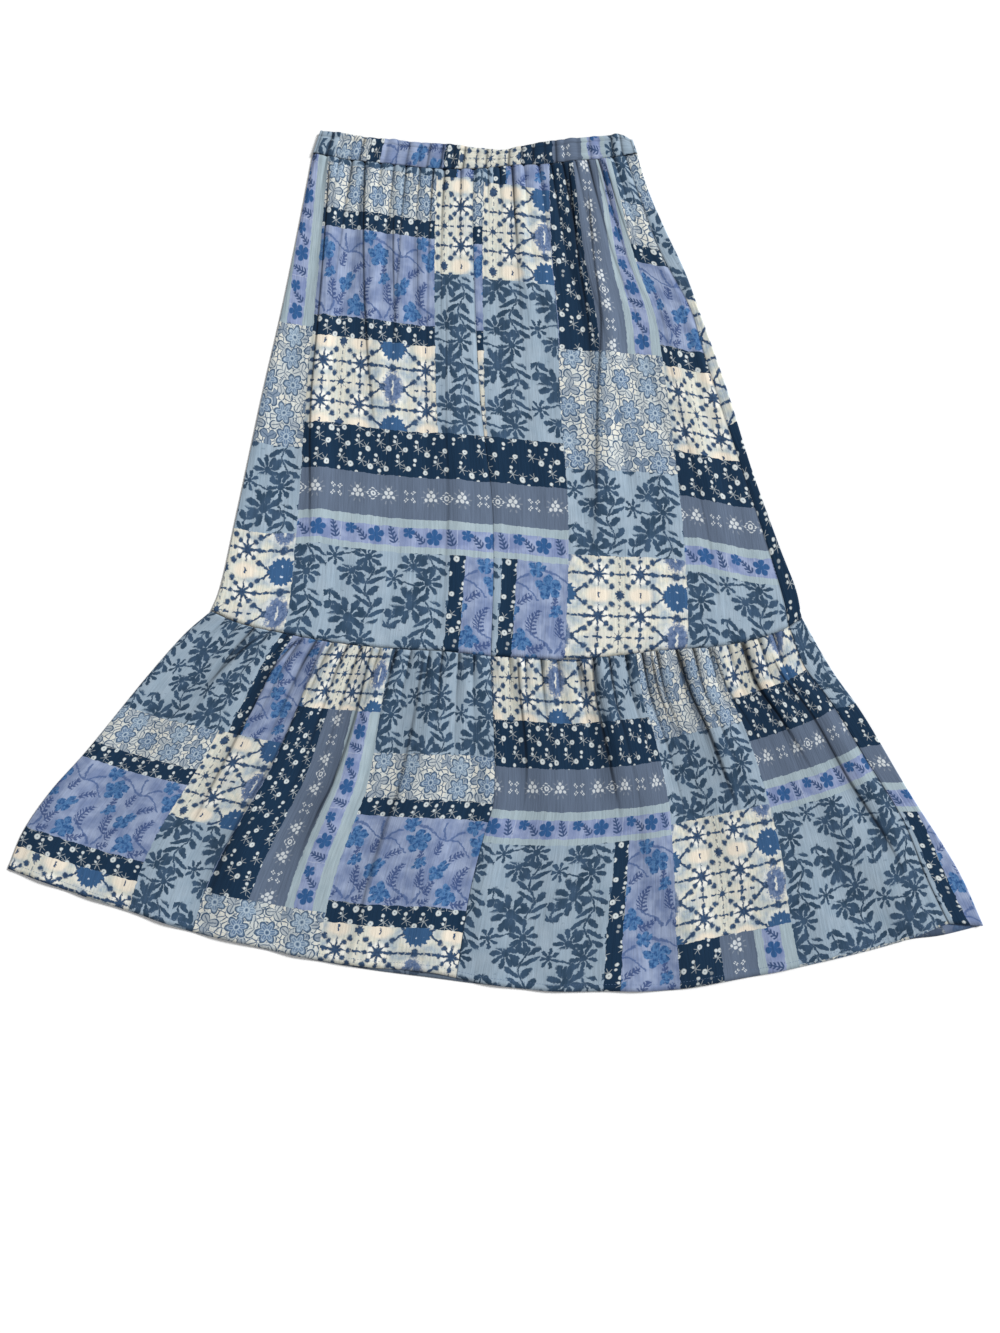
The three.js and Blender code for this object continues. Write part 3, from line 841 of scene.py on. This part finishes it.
def line_between(x, y, start, end):
    """The distance beside a straight line, 1 along its length and 0 past its ends, the place up it, its length."""
    run = (end[0] - start[0], end[1] - start[1])
    length = math.hypot(*run)
    ux, uy = run[0] / length, run[1] / length
    dx, dy = x - start[0], y - start[1]
    beside = abs(dx.scaled(-uy, dy * ux))
    up = dx.scaled(ux, dy * uy)
    return beside, up.near(length / 2, length / 2, 1.0), up, length


def stroke(x, y, start, end, half_width=0.8):
    """A straight line between two points."""
    beside, inside, _, _ = line_between(x, y, start, end)
    return beside.below(half_width, 0.7) * inside


def fern(x, y, start, end, reach=5.0):
    """A sprig: a stem with slanting leaves on both sides."""
    beside, inside, up, length = line_between(x, y, start, end)
    leaves = (up - beside * 0.8).fold(2.0).below(1.1, 0.8)
    taper = up.scaled(-reach * 0.5 / length, reach)
    return inside * union(leaves * beside.below(taper, 1.0), beside.below(0.8, 0.6))


def repeated(shape, x, y, period, start, end, size):
    """A stroke or a fern that comes back with every period across."""
    middle = (start[0] + end[0]) / 2
    return shape(centred(x, middle, period), y, (start[0] - middle, start[1]), (end[0] - middle, end[1]), size)


def noise(vector, scale, detail=2.0, roughness=0.5):
    inputs = {"Vector": vector, "Scale": scale, "Detail": detail, "Roughness": roughness}
    return vector.node("ShaderNodeTexNoise", {}, inputs)


def cells(x, y, wide, tall, jitter, feature="F1"):
    """A scatter of one place in each cell of a grid."""
    vector = x.node("ShaderNodeCombineXYZ", {}, {0: x / wide, 1: y / tall})
    settings = {"voronoi_dimensions": "2D", "feature": feature}
    return vector, x.node("ShaderNodeTexVoronoi", settings, {"Vector": vector, "Scale": 1.0, "Randomness": jitter})


def scatter(x, y, wide, tall, jitter):
    """The way across and down from the place in each cell, and two numbers of the cell's own."""
    vector, places = cells(x, y, wide, tall, jitter)
    inputs = {0: vector, 1: places.output("Position")}
    right, down, _ = x.node("ShaderNodeVectorMath", {"operation": "SUBTRACT"}, inputs).parts()
    own, other, _ = places.output("Color").parts()
    return right * wide, down * tall, own, other


# Each kind of print has a number that the layout hands on.
KINDS = {"cream": 0.1, "leaf": 0.2, "vine": 0.3, "navy": 0.4, "slate": 0.5, "strip": 0.6, "pale": 0.7, "toile": 0.8}
BY_WIDTH = 1.0

# Patches of the print down each column: where one starts, its kind, and where its own pattern starts.
# A patch with no kind takes the one that lies there across the whole repeat.
BORDER = [(307, "slate", 37, 307), (348, "pale", 0, 0), (357, "strip", 21, 357), (375, "pale", 0, 0), (382, None, 0, 0)]
COLUMN_ONE = [
    (0, "toile", 0, 0), (44, "navy", 0, 44), (64, "vine", 7, 66), (154, "navy", 0, 154), (174, "cream", 37, 159),
    (262, "navy", 0, 262)] + BORDER
COLUMN_TWO = [(0, "cream", 155, 71), (98, "leaf", 71, 66), (262, "navy", 0, 262)] + BORDER
COLUMN_THREE = [
    (0, None, 0, 0), (166, "toile", 220, 166), (286, "leaf", 219, 62), (371, "cream", 271.5, 390), (491, None, 0, 0)]
ACROSS = [
    (0, "leaf", 32, 64), (153, "navy", 153, 382), (168, "vine", 1, 25), (220, "navy", 220, 0), (263.5, "slate", 0, 65),
    (299.5, "pale", 0, 0), (307.5, "strip", 0, 37.5), (325.5, "pale", 0, 0)]
COLUMN_STARTS = (143.0, 220.0)
LATE_START = 491.0


def layout(share, rows, whole):
    """Looks up the kind and the start of the patch at a share of the repeat."""
    found = share.node("ShaderNodeValToRGB", {}, {0: share})
    ramp = found.socket.node.color_ramp
    ramp.interpolation = "CONSTANT"
    while len(ramp.elements) < len(rows):
        ramp.elements.new(0.5)
    for stop, row in zip(ramp.elements, rows):
        stop.position = row[0] / whole
    for stop, (start, kind, left, top) in zip(ramp.elements, rows):
        stop.color = (KINDS.get(kind, BY_WIDTH), left / 1000, top / 1000, 1)
    return found


def cream_print(x, y, cloud, fine):
    """Dyed stars in rows on cream, with large blue blots between the columns."""
    side = x.fold(58.0)
    level = y.fold(20.5)
    beyond = side.scaled(-1.0, 58.0)
    middle = level - 20.5
    first = (y % 82.0).below(41.0, 0.5)
    second = first.scaled(-1.0, 1.0)
    off = abs(side - 21.0)
    away = hypot(off, level)
    star = away * (level.angle(off).fold(math.pi / 8) + 0.16)
    centre = hypot(side, middle)
    knot = middle.angle(side).fold(math.pi / 8)
    dashes = (side % 7.0).below(5.8, 1.6).scaled(0.6, 0.4)
    bar = union(side.near(9.5, 3.0), off.below(4.6), side.near(32.0, 2.4)) * abs(middle).below(1.0, 0.6)
    marks = union(
        star.below(2.05, 0.9), away.below(3.6, 1.2),
        dots(off, level, ((8.0, 7.5, 2.6, 1.4), (13.0, 12.0, 3.0, 1.6), (12.8, 0.0, 2.5, 1.2))),
        hypot(off, level - 12.8).below(2.5, 1.2) * second,
        off.below(0.7, 0.6) * level.below(12.0, 1.0) * 0.8,
        side.above(26.0, 1.0) * level.below(1.3, 0.7) * dashes,
        side.below(5.0) * level.below(1.0, 0.6),
        side.below(0.8, 0.6) * (level % 7.0).below(4.2) * 0.75,
        first * (centre - knot * 4.0).below(3.6, 1.0),
        second * union((centre * (knot + 0.12)).below(0.9, 0.6), centre.below(3.0)),
        first * off.below(0.9, 0.6) * abs(middle).below(3.0),
        second * union(bar, off.below(1.0, 0.6) * abs(middle).below(4.6)),
        stroke(side, level, (47, 20.5), (34, 11), 1.2),
        dots(side, level, ((34.5, 12.0, 2.5, 1.4), (46.5, 20.5, 3.6, 1.4))),
        hypot(beyond, level).below(4.2, 1.6))
    blot_away = hypot(beyond, middle)
    blot = blot_away.below(middle.angle(beyond).fold(math.pi / 16).scaled(-16.0, 15.0), 1.2)
    lights = hypot(centred(beyond, 0.0, 8.0), centred(middle, 3.0, 8.0)).below(0.9, 0.7) * blot_away.below(8.5, 1.0)
    smudge = hypot(beyond / 10.5, middle / 15.5).below(fine.scaled(1.4, 0.3), 0.3)
    slit = beyond.below(0.9) * abs(middle).below(7.0, 2.0)
    glow = hypot(off / 11.5, middle / 7.0).below(1.0, 0.5) * first.scaled(0.7, 0.3)
    halo = union(away.below(10.0, 4.0).minus(away.below(5.0, 2.0)), blot_away.below(17.0, 3.0) * 0.5)
    return painted(
        (cloud.above(0.5, 0.2) * side.above(12.0, 24.0)).blend("dbd9cb", "a6b4bf"),
        (fine.above(0.54, 0.1) * 0.6, "c3ccc6"), (glow, "e9dfce"), (halo * 0.8, "f3f2ea"),
        (marks, fine.above(0.5, 0.3).blend("2b405e", "3c5676")),
        (first * blot, "375b84"), (first * lights, "c9d6e4"),
        (second * smudge.minus(slit), fine.above(0.5, 0.2).blend("4a6086", "6e81a2")))


def leaf_print(x, y, cloud):
    """Blue flowers and leafy stems on a greyish blue, with every second column turned over."""
    odd = (x % 120.0).above(60.0, 0.02)
    across = x % 60.0
    turned = y * odd.scaled(-2.0, 1.0) + odd * 17.0
    rise = turned % 82.0

    def leaves(beside, pair, out, long, wide):
        """A pair of leaves on both sides of a stem."""
        return hypot((beside - out) / long, pair / wide).below(1.0, 0.2)

    middle = across - 26.0
    big_y, palm_y, small_y = (centred(turned, start, 82.0) for start in (-24.0, 13.0, 0.0))
    heart = hypot(middle - 1.0, (big_y - 9.5) * 0.8).below(5.4, 1.2) * abs(middle - 1.0).above(0.5, 0.6)
    stem = abs(across - (rise * 0.17).sine().scaled(4.0, 44.0))
    branch = abs(across - (rise * 0.2).sine().scaled(-4.0, 10.0))
    marks = union(
        drops(across - 8.0, small_y, 10.0, 7, 0.4, 0.17),
        drops(across - 41.5, centred(turned, -2.0, 82.0), 14.0, 9, 0.2, 0.145),
        drops(middle, big_y, 19.0, 8, 0.3, 0.165), heart,
        drops(middle, palm_y, 14.5, 9, 0.35, 0.165) * palm_y.above(-5.0, 1.5),
        stroke(middle, palm_y, (0, 0), (14, -13), 1.5),
        stroke(across, small_y, (8, 0), (30, -6), 0.9),
        union(stem.below(1.1, 0.7), leaves(stem, centred(rise + stem * 0.6, 3.0, 10.6), 7.2, 6.4, 3.3))
        * rise.above(6.0, 2.0) * rise.below(62.0, 2.0),
        union(branch.below(1.0, 0.7), leaves(branch, centred(rise - branch * 0.6, 5.0, 10.0), 6.0, 5.6, 3.1))
        * rise.above(33.0, 2.0) * rise.below(57.0, 2.0))
    ground = cloud.above(0.5, 0.5).blend("8fa3b4", "9fb0bf")
    return marks.blend(ground, cloud.above(0.5, 0.3).blend("3c546e", "2d445a"))


VINE_FLOWERS = ((0, 22, 13.5, 0.4), (-11, 4, 9.0, 1.0), (8.5, 47, 7.0, 0.1), (31, 51, 10.5, 0.8), (39, 78, 12.0, 0.2))
VINE_SPRIGS = (
    ((-15, 68), (-9, 43), 6), ((12, 72), (16, 52), 6), ((18, 34), (25, 20), 4.5), ((36, 43), (48, 32), 5),
    ((-20, 84), (-4, 77), 5), ((14, 86), (23, 77), 4.5), ((17, 74), (29, 60), 4), ((5, 44), (3, 32), 4))
VINE_STEMS = (
    ((-6, 2), (14, 14)), ((14, 14), (33, 20)), ((33, 20), (54, 33)), ((24, 0), (30, 18)), ((33, 20), (50, 13)),
    ((-20, 67), (-9, 70)), ((-9, 70), (5, 88)), ((13, 73), (8, 88)))


def vine_print(x, y, cloud, fine):
    """Small blue flowers on thin stems over washed periwinkle."""
    wide, long = 66.8, 90.0
    y = y + (x * (math.tau / 33.4)).sine() * 2.6
    x = x + (y * (math.tau / 45.0)).sine() * 3.0
    flowers = union(*(
        blossom(centred(x, left, wide), centred(y, top, long), radius, turn)
        for left, top, radius, turn in VINE_FLOWERS))
    y = y % long
    sprigs = union(*(repeated(fern, x, y, wide, *row) for row in VINE_SPRIGS))
    stems = union(*(repeated(stroke, x, y, wide, *row, 1.1) for row in VINE_STEMS))
    return painted(
        cloud.above(0.5, 0.25).blend("7686aa", "96a4c1"), (stems * 0.85, "4b6290"), (sprigs * 0.9, "364c7c"),
        (flowers, fine.above(0.48, 0.16).blend("2a5286", "5079a8")))


def navy_print(x, y):
    """White ring flowers and pairs of buds, each with a small sprig, on navy."""
    def fan(away, turn):
        return (away * abs(turn.sine())).below(0.9, 0.6)

    dx, dy, own, other = scatter(x, y, 21.0, 18.0, 0.4)
    away = hypot(dx, dy)
    rings = away.below(own.scaled(0.7, 2.2)).minus(away.below(0.7) * 0.7)
    lean = other.scaled(4.0, 2.0)
    turned_x = dx * lean.cosine() + dy * lean.sine() - 2.6
    turned_y = dy * lean.cosine() - dx * lean.sine()
    reach = hypot(turned_x, turned_y)
    sprigs = fan(reach, turned_y.angle(turned_x) * 3.0) * reach.below(4.8) * turned_x.above(0.0, 0.5)
    bud_x, bud_y, bud_own, _ = scatter(x + 10.5, y + 9.0, 21.0, 18.0, 0.4)
    buds = dots(bud_x, bud_y, ((0.0, -2.9, 1.7, 0.8), (-0.9, 1.9, 1.3, 0.8))) * bud_own.above(0.12, 0.02)
    fan_x, fan_y = bud_x - 1.5, bud_y - 4.0
    fan_away = hypot(fan_x, fan_y)
    bud_sprigs = fan(fan_away, fan_y.angle(fan_x).scaled(3.0, bud_own * 3.0)) * fan_away.below(5.4)
    bud_sprigs = bud_sprigs * bud_own.above(0.3, 0.02)
    return union(rings, buds, union(sprigs, bud_sprigs) * 0.5).blend("152f48", "cfd6d6")


def slate_print(along_strip, from_middle):
    """A row of small white woven figures on slate blue."""
    place = along_strip.fold(37.25)
    away = hypot(place, from_middle)
    crossing = abs(place - abs(from_middle))
    beads = (away % 2.9).below(1.8, 0.6)
    beside = abs(place - 21.4)
    cluster = hypot(beside, from_middle)
    halo = (cluster * from_middle.angle(beside).fold(math.pi / 10)).below(0.6, 0.5)
    diamond = abs(place - 37.25) + abs(from_middle)
    spots = (abs(from_middle) % 2.4).below(1.4, 0.6)
    white = union(
        crossing.near(1.2, 0.75, 0.5) * away.above(2.2) * away.below(8.0) * beads,
        dots(beside, from_middle, (
            (0.0, -5.4, 1.6, 0.7), (2.5, -1.7, 2.0, 0.7), (0.0, 2.2, 2.1, 0.7), (5.0, 2.6, 1.6, 0.7))),
        halo * cluster.above(6.6, 1.0) * cluster.below(9.6, 1.0) * 0.22,
        diamond.near(6.2, 0.8, 0.6) * spots,
        hypot(place - 37.25, from_middle).near(1.9, 0.7, 0.6))
    return (white * 0.9).blend("5f6d82", "d3d9dc")


def strip_print(along_strip, from_middle, cloud):
    """A narrow garland of small flowers on periwinkle."""
    flowers = union(*(
        blossom(centred(along_strip, start, 58.0), from_middle - low, radius, turn)
        for start, low, radius, turn in ((0.0, 1.0, 9.0, 0.5), (33.0, -3.0, 6.5, 0.2))))
    sprigs = union(*(
        fern(centred(along_strip, start, 58.0), from_middle, low, high, reach)
        for start, low, high, reach in ((16.0, (3, 8), (-2, -8), 5.0), (43.0, (5, 7), (-4, -3), 4.5))))
    breaks = abs(centred(along_strip, 23.0, 29.0)).below(0.5, 0.5)
    return painted(
        cloud.above(0.5, 0.25).blend("7b8ab2", "99a6c6"), (breaks * 0.5, "b4bdd2"), (flowers, "315a8d"),
        (sprigs, "3a5078"))


def toile_print(x, y):
    """Drawn blossoms and leaves in grey blue, with cream pebbles between them."""
    dx, dy, own, other = scatter(x, y, 30.0, 27.0, 0.5)
    away = hypot(dx, dy)
    angle = dy.angle(dx)
    petal = abs(angle.scaled(3.0, own * 6.3).cosine())
    rim = away - petal.scaled(4.5, 6.5) + own.below(0.42, 0.01) * 20.0
    inside = rim.below(0.0)
    turn = angle.scaled(6.0, own * 12.6)
    veins = (away * abs(turn.sine())).below(1.5, 1.0) * away.above(2.5, 1.0)
    folds = (away * abs(turn.cosine())).below(1.1) * away.above(4.0, 1.0)
    light = union(veins * 0.8, rim.near(-2.4, 0.5, 0.7), away.near(2.6, 0.6, 0.6)) * inside
    dark = union(abs(rim).below(0.85, 0.6), away.below(1.2), folds * inside * 0.7)
    leaf_x, leaf_y, leaf_own, leaf_other = scatter(x + 15.0, y + 12.0, 19.0, 17.0, 0.8)
    leaf_away = hypot(leaf_x, leaf_y)
    lobe = leaf_y.angle(leaf_x).scaled(1.5, leaf_own * 6.3)
    leaf_rim = leaf_away - abs(lobe.cosine()).scaled(8.0, 1.8)
    leaf_vein = (leaf_away * abs(lobe.sine())).below(0.8, 0.7) * leaf_rim.below(-1.5)
    _, pebble_edge = cells(x, y, 6.4, 5.4, 0.9, "DISTANCE_TO_EDGE")
    pebbles = leaf_other.above(0.5, 0.4).blend("dadad1", "c8cecd")
    return painted(
        pebble_edge.above(0.085, 0.08).blend("4a607c", pebbles),
        (leaf_rim.below(0.0, 0.7), leaf_own.blend("637a95", "ccd1cf")),
        (leaf_rim.near(1.5, 0.4, 0.7) * 0.8, "d2dad9"),
        (union(abs(leaf_rim).below(0.8, 0.6), leaf_vein * 0.8), "415873"),
        (inside, other.blend("627b9b", "8a9fb4")),
        (rim.near(1.6, 0.4, 0.7) * 0.8, "d2dad9"),
        (light * 0.8, "b9c8d1"), (dark * 0.9, "415873"))


def printed_cotton():
    """The whole printed cloth: patches by the layout, with painted light and shade along the crinkles, and painted
    shade in the creases and on the inner face.
    """
    material = bpy.data.materials.new("printed_cotton")
    material.use_nodes = True
    tree = material.node_tree
    shader = tree.nodes["Principled BSDF"]
    position = Field(tree).node("ShaderNodeUVMap", {"uv_map": "print"})
    u, v, _ = position.parts()
    u, v = u.scaled(PRINT_SPAN, -PRINT_START), v.scaled(PRINT_SPAN, -PRINT_START)

    ripple = noise(position, PRINT_SPAN / 7, 2.0, 0.6)
    wander_u, wander_v = (part.scaled(3.6, -1.8) for part in ripple.output("Color").parts()[:2])
    across = (u + wander_u) % REPEAT_WIDE
    share = (v + wander_v) % REPEAT_LONG / REPEAT_LONG
    in_two, in_three = (across.above(start, SHARP) for start in COLUMN_STARTS)
    one, two, three = (layout(share, rows, REPEAT_LONG) for rows in (COLUMN_ONE, COLUMN_TWO, COLUMN_THREE))
    here = in_three.blend(in_two.blend(one, two), three)
    here = here.parts()[0].above(0.9, SHARP).blend(here, layout(across / REPEAT_WIDE, ACROSS, REPEAT_WIDE))
    kind, start_x, start_y = here.parts()
    whole_u = (u + wander_u * 0.7) % REPEAT_WIDE
    whole_v = (v + wander_v * 0.7) % REPEAT_LONG
    late = whole_v.above(LATE_START, SHARP) * in_three
    x = start_x.scaled(-1000.0, whole_u)
    y = start_y.scaled(-1000.0, whole_v - late * REPEAT_LONG)

    cloud = noise(position, PRINT_SPAN / 16)
    fine = noise(position, PRINT_SPAN / 3.5, 2.0, 0.6)
    rough_x = fine.scaled(4.0, x - 2.0)
    rough_y = fine.output("Color").parts()[1].scaled(4.0, y - 2.0)
    slate_along = in_three.choose(x, y)
    slate_across = in_three.choose(y - 20.5, whole_u - 281.5)
    strip_across = in_three.choose(y - 9.0, whole_u - 316.5)
    ink = cream_print(rough_x, rough_y, cloud, fine)
    for name, tone in (
            ("leaf", leaf_print(rough_x, rough_y, cloud)),
            ("vine", vine_print(rough_x, rough_y, cloud, fine)),
            ("navy", navy_print(x, y)),
            ("slate", slate_print(slate_along, slate_across)),
            ("strip", strip_print(slate_along, strip_across, cloud)),
            ("pale", cloud.blend("95a8b3", "acbcc3")),
            ("toile", toile_print(x, y))):
        ink = kind.math("COMPARE", KINDS[name], 0.04).blend(ink, tone)

    crease_shade, inside = (
        position.node("ShaderNodeAttribute", {"attribute_name": mark}, output=2) for mark in ("crease_shade", "inside"))
    scales = ((PRINT_SPAN / wide, PRINT_SPAN / long, 1.0) for wide, long in (CRINKLE_SIZE, THREAD_SIZE))
    crinkle_place, weave_place = (
        position.node("ShaderNodeMapping", {}, {"Vector": position, "Scale": scale}) for scale in scales)
    crinkle = noise(crinkle_place, 1.0, 2.0, 0.6)
    # Painted light and shade: the crinkle noise that drives the bump also lightens and darkens the print.
    crinkle_shading = crinkle.scaled(0.5, 0.72)
    grey = position.node("ShaderNodeCombineColor", {}, {0: crinkle_shading, 1: crinkle_shading, 2: crinkle_shading})
    crinkle_shaded = position.node(
        "ShaderNodeMix", {"data_type": "RGBA", "blend_type": "MULTIPLY"}, {0: 1.0, 6: ink, 7: grey}, output=2)
    # The inner face keeps a faint trace of the print, as the cloth's reverse does, under a dark painted shade; the
    # creases, valleys and seams get a near-black painted shade.
    cloth_colour = painted(crinkle_shaded, (inside * 0.7, "4e5b70"), (crease_shade * 0.85, "0c1420"))
    tree.links.new(cloth_colour.socket, shader.inputs["Base Color"])
    relief = crinkle.scaled(0.8, noise(weave_place, 1.0, 1.0) * 0.25)
    bump = position.node("ShaderNodeBump", {}, {"Strength": 0.5, "Distance": 0.0012, "Height": relief})
    tree.links.new(bump.socket, shader.inputs["Normal"])
    for name, value in (("Roughness", 0.85), ("Specular IOR Level", 0.12), ("Sheen Weight", 0.03),
                        ("Sheen Roughness", 0.5)):
        shader.inputs[name].default_value = value
    return material


def sewing_thread():
    """Twisted thread in two blues."""
    material = bpy.data.materials.new("sewing_thread")
    material.use_nodes = True
    tree = material.node_tree
    shader = tree.nodes["Principled BSDF"]
    field = Field(tree)
    place = field.node("ShaderNodeTexCoord", output="Object")
    twist = field.node("ShaderNodeTexWave", {"wave_type": "BANDS", "bands_direction": "DIAGONAL"},
                       {"Vector": place, "Scale": 900.0, "Distortion": 1.0}, output=1)
    tree.links.new(twist.blend("3f5478", "6f86a8").socket, shader.inputs["Base Color"])
    shader.inputs["Roughness"].default_value = 0.6
    return material


# Pieces. The seams' ends are given by their x: left fold, centre seam and side seam. Each grid is columns by rows.

SEAM_WAIST = (-209, -24, 150)
SEAM_TIER = (-313, -4, 324)
SEAM_HEM = (-525, -41, 487)
UPPER_GRID, UPPER_GATHERS = (280, 140), 12
TIER_GRID, TIER_GATHERS = (380, 105), 18
UPPER_BACK_GRID, UPPER_BACK_GATHERS = (200, 90), 24
TIER_BACK_GRID, TIER_BACK_GATHERS = (260, 85), 36

cloth = printed_cotton()

front_left, _ = front_panel(
    "skirt_front_left",
    patch_edges(UPPER_LEFT_EDGE, UPPER_CENTRE_SEAM, WAIST_SEAM, TIER_SEAM, SEAM_WAIST[:2], SEAM_TIER[:2]),
    UPPER_GRID, UPPER_GATHERS, WAIST_GATHER_HEIGHT, FRONT_LEFT_FOLDS,
    print_map(
        [(0, -22), (1, -73)], [(0, 191), (0.55, 192), (1, 200)],
        [(0, -5), (1, -9)], [(0, 455), (0.12, 462), (0.33, 477), (1, 477)], by_sides=True),
    cloth)
front_right, _ = front_panel(
    "skirt_front_right",
    patch_edges(UPPER_CENTRE_SEAM, UPPER_SIDE_SEAM, WAIST_SEAM, TIER_SEAM, SEAM_WAIST[1:], SEAM_TIER[1:]),
    UPPER_GRID, UPPER_GATHERS, WAIST_GATHER_HEIGHT, FRONT_RIGHT_FOLDS,
    print_map(
        [(0, 128), (0.072, 143), (0.493, 220), (0.645, 263), (0.8, 299), (0.895, 340), (1, 360)],
        [(0, 149), (1, 442)],
        [(0, -13), (0.276, -21), (0.868, -42), (1, -53)], [(0, 480), (0.263, 475), (0.76, 455), (1, 422)]),
    cloth, ridge=SIDE_RIDGE_HEIGHT)
tier_left, tier_left_middle = front_panel(
    "skirt_tier_front_left",
    patch_edges(TIER_LEFT_EDGE, TIER_CENTRE_SEAM, TIER_SEAM, FRONT_HEM, SEAM_TIER[:2], SEAM_HEM[:2]),
    TIER_GRID, TIER_GATHERS, TIER_GATHER_HEIGHT, TIER_LEFT_FOLDS,
    print_map(
        [(0, 13), (0.265, 153), (0.307, 168), (0.431, 220), (0.657, 340), (1, 480)],
        [(0, 13), (0.279, 143), (0.424, 220), (0.7, 340), (1, 480)],
        [(0, -130), (1, -101)], [(0, 199), (0.43, 207), (1, 218)]),
    cloth, hem=True)
tier_right, tier_right_middle = front_panel(
    "skirt_tier_front_right",
    patch_edges(TIER_CENTRE_SEAM, TIER_SIDE_SEAM, TIER_SEAM, FRONT_HEM, SEAM_TIER[1:], SEAM_HEM[1:]),
    TIER_GRID, TIER_GATHERS, TIER_GATHER_HEIGHT, TIER_RIGHT_FOLDS,
    print_map(
        [(0, 15), (0.337, 143), (0.48, 220), (0.752, 340), (1, 462)],
        [(0, 15), (0.292, 153), (0.327, 168), (0.447, 220), (0.69, 340), (1, 493)],
        [(0, 201), (0.5, 198), (0.84, 213), (1, 218)], [(0, 514), (0.5, 535), (1, 535)]),
    cloth, ridge=SIDE_RIDGE_HEIGHT, hem=True)
back, _ = back_panel(
    "skirt_back", (UPPER_LEFT_EDGE, UPPER_RIGHT_EDGE, WAIST_SEAM, TIER_SEAM), UPPER_SIDE_SEAM,
    UPPER_BACK_GRID, UPPER_BACK_GATHERS, cloth, start_u=225, widths=(463, 615), ends_v=(233, 671))
tier_back, tier_back_middle = back_panel(
    "skirt_tier_back", (TIER_LEFT_EDGE, TIER_RIGHT_EDGE, TIER_SEAM, BACK_HEM), TIER_SIDE_SEAM,
    TIER_BACK_GRID, TIER_BACK_GATHERS, cloth, start_u=148, widths=(1002, 1007), ends_v=(164, 505), hem=True)
band = waistband("skirt_waistband", cloth)

thread_rows = stitch_tree(sewing_thread())
front_hem_stitches = stitch_row(
    "hem_stitches_front", [line_on(tier_left_middle, HEM_DEPTH), line_on(tier_right_middle, HEM_DEPTH)], thread_rows)
back_hem_stitches = stitch_row(
    "hem_stitches_back", [line_on(tier_back_middle, HEM_DEPTH, side=-1, last=TIER_BACK_GRID[0])], thread_rows)

# Each sheet, the solid that it replaces, its cloth, its flat width and length in metres, and its flat area in
# square metres where that is less than their product.
SHEETS = [
    (front_left, "front_left", "skirt_cloth", (0.298, 0.531), 0.141),
    (front_right, "front_right", "skirt_cloth", (0.322, 0.531), 0.153),
    (back, "back", "skirt_cloth", (0.668, 0.531), 0.314),
    (tier_left, "tier_front_left", "tier_cloth", (0.512, 0.36), None),
    (tier_right, "tier_front_right", "tier_cloth", (0.526, 0.364), 0.185),
    (tier_back, "tier_back", "tier_cloth", (1.08, 0.36), None),
    (band, "waistband", "band_cloth", (1.007, 0.028), None),
]
for stitches in (front_hem_stitches, back_hem_stitches):
    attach(stitches, "root")
for piece, node, finish, flat, area in SHEETS:
    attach(piece, "root")
    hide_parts(node)


# Floor and light. The floor is in metres. The sun's light runs towards SUN_TOWARDS, spread over some degrees.

FLOOR_REACH = 40.0
FLOOR_LEVEL = -0.0002
SUN_TOWARDS = (-1.0, -0.55, -0.85)
SUN_STRENGTH = 3.7
SUN_SPREAD = 14
ROOM_STRENGTH = 0.4


def pale_floor():
    mesh = bpy.data.meshes.new("floor")
    corners = ((-1, -1), (1, -1), (1, 1), (-1, 1))
    mesh.from_pydata([(FLOOR_REACH * x, FLOOR_REACH * y, FLOOR_LEVEL) for x, y in corners], [], [(0, 1, 2, 3)])
    floor = bpy.data.objects.new("floor", mesh)
    bpy.context.scene.collection.objects.link(floor)
    material = bpy.data.materials.new("pale_floor")
    material.use_nodes = True
    shader = material.node_tree.nodes["Principled BSDF"]
    shader.inputs["Base Color"].default_value = (0.95, 0.95, 0.95, 1)
    shader.inputs["Roughness"].default_value = 0.9
    shader.inputs["Specular IOR Level"].default_value = 0.1
    mesh.materials.append(material)


def studio():
    """Broad light from the upper right, and an even pale room."""
    pale_floor()
    data = bpy.data.lights.new("window_light", "SUN")
    data.energy = SUN_STRENGTH
    data.angle = math.radians(SUN_SPREAD)
    lamp = bpy.data.objects.new("window_light", data)
    lamp.rotation_euler = Vector(SUN_TOWARDS).to_track_quat("-Z", "Y").to_euler()
    bpy.context.scene.collection.objects.link(lamp)
    world = bpy.data.worlds.new("studio")
    world.use_nodes = True
    world.node_tree.nodes["Background"].inputs["Color"].default_value = (1, 1, 1, 1)
    world.node_tree.nodes["Background"].inputs["Strength"].default_value = ROOM_STRENGTH
    bpy.context.scene.world = world
    bpy.context.scene.view_settings.view_transform = "Standard"


studio()
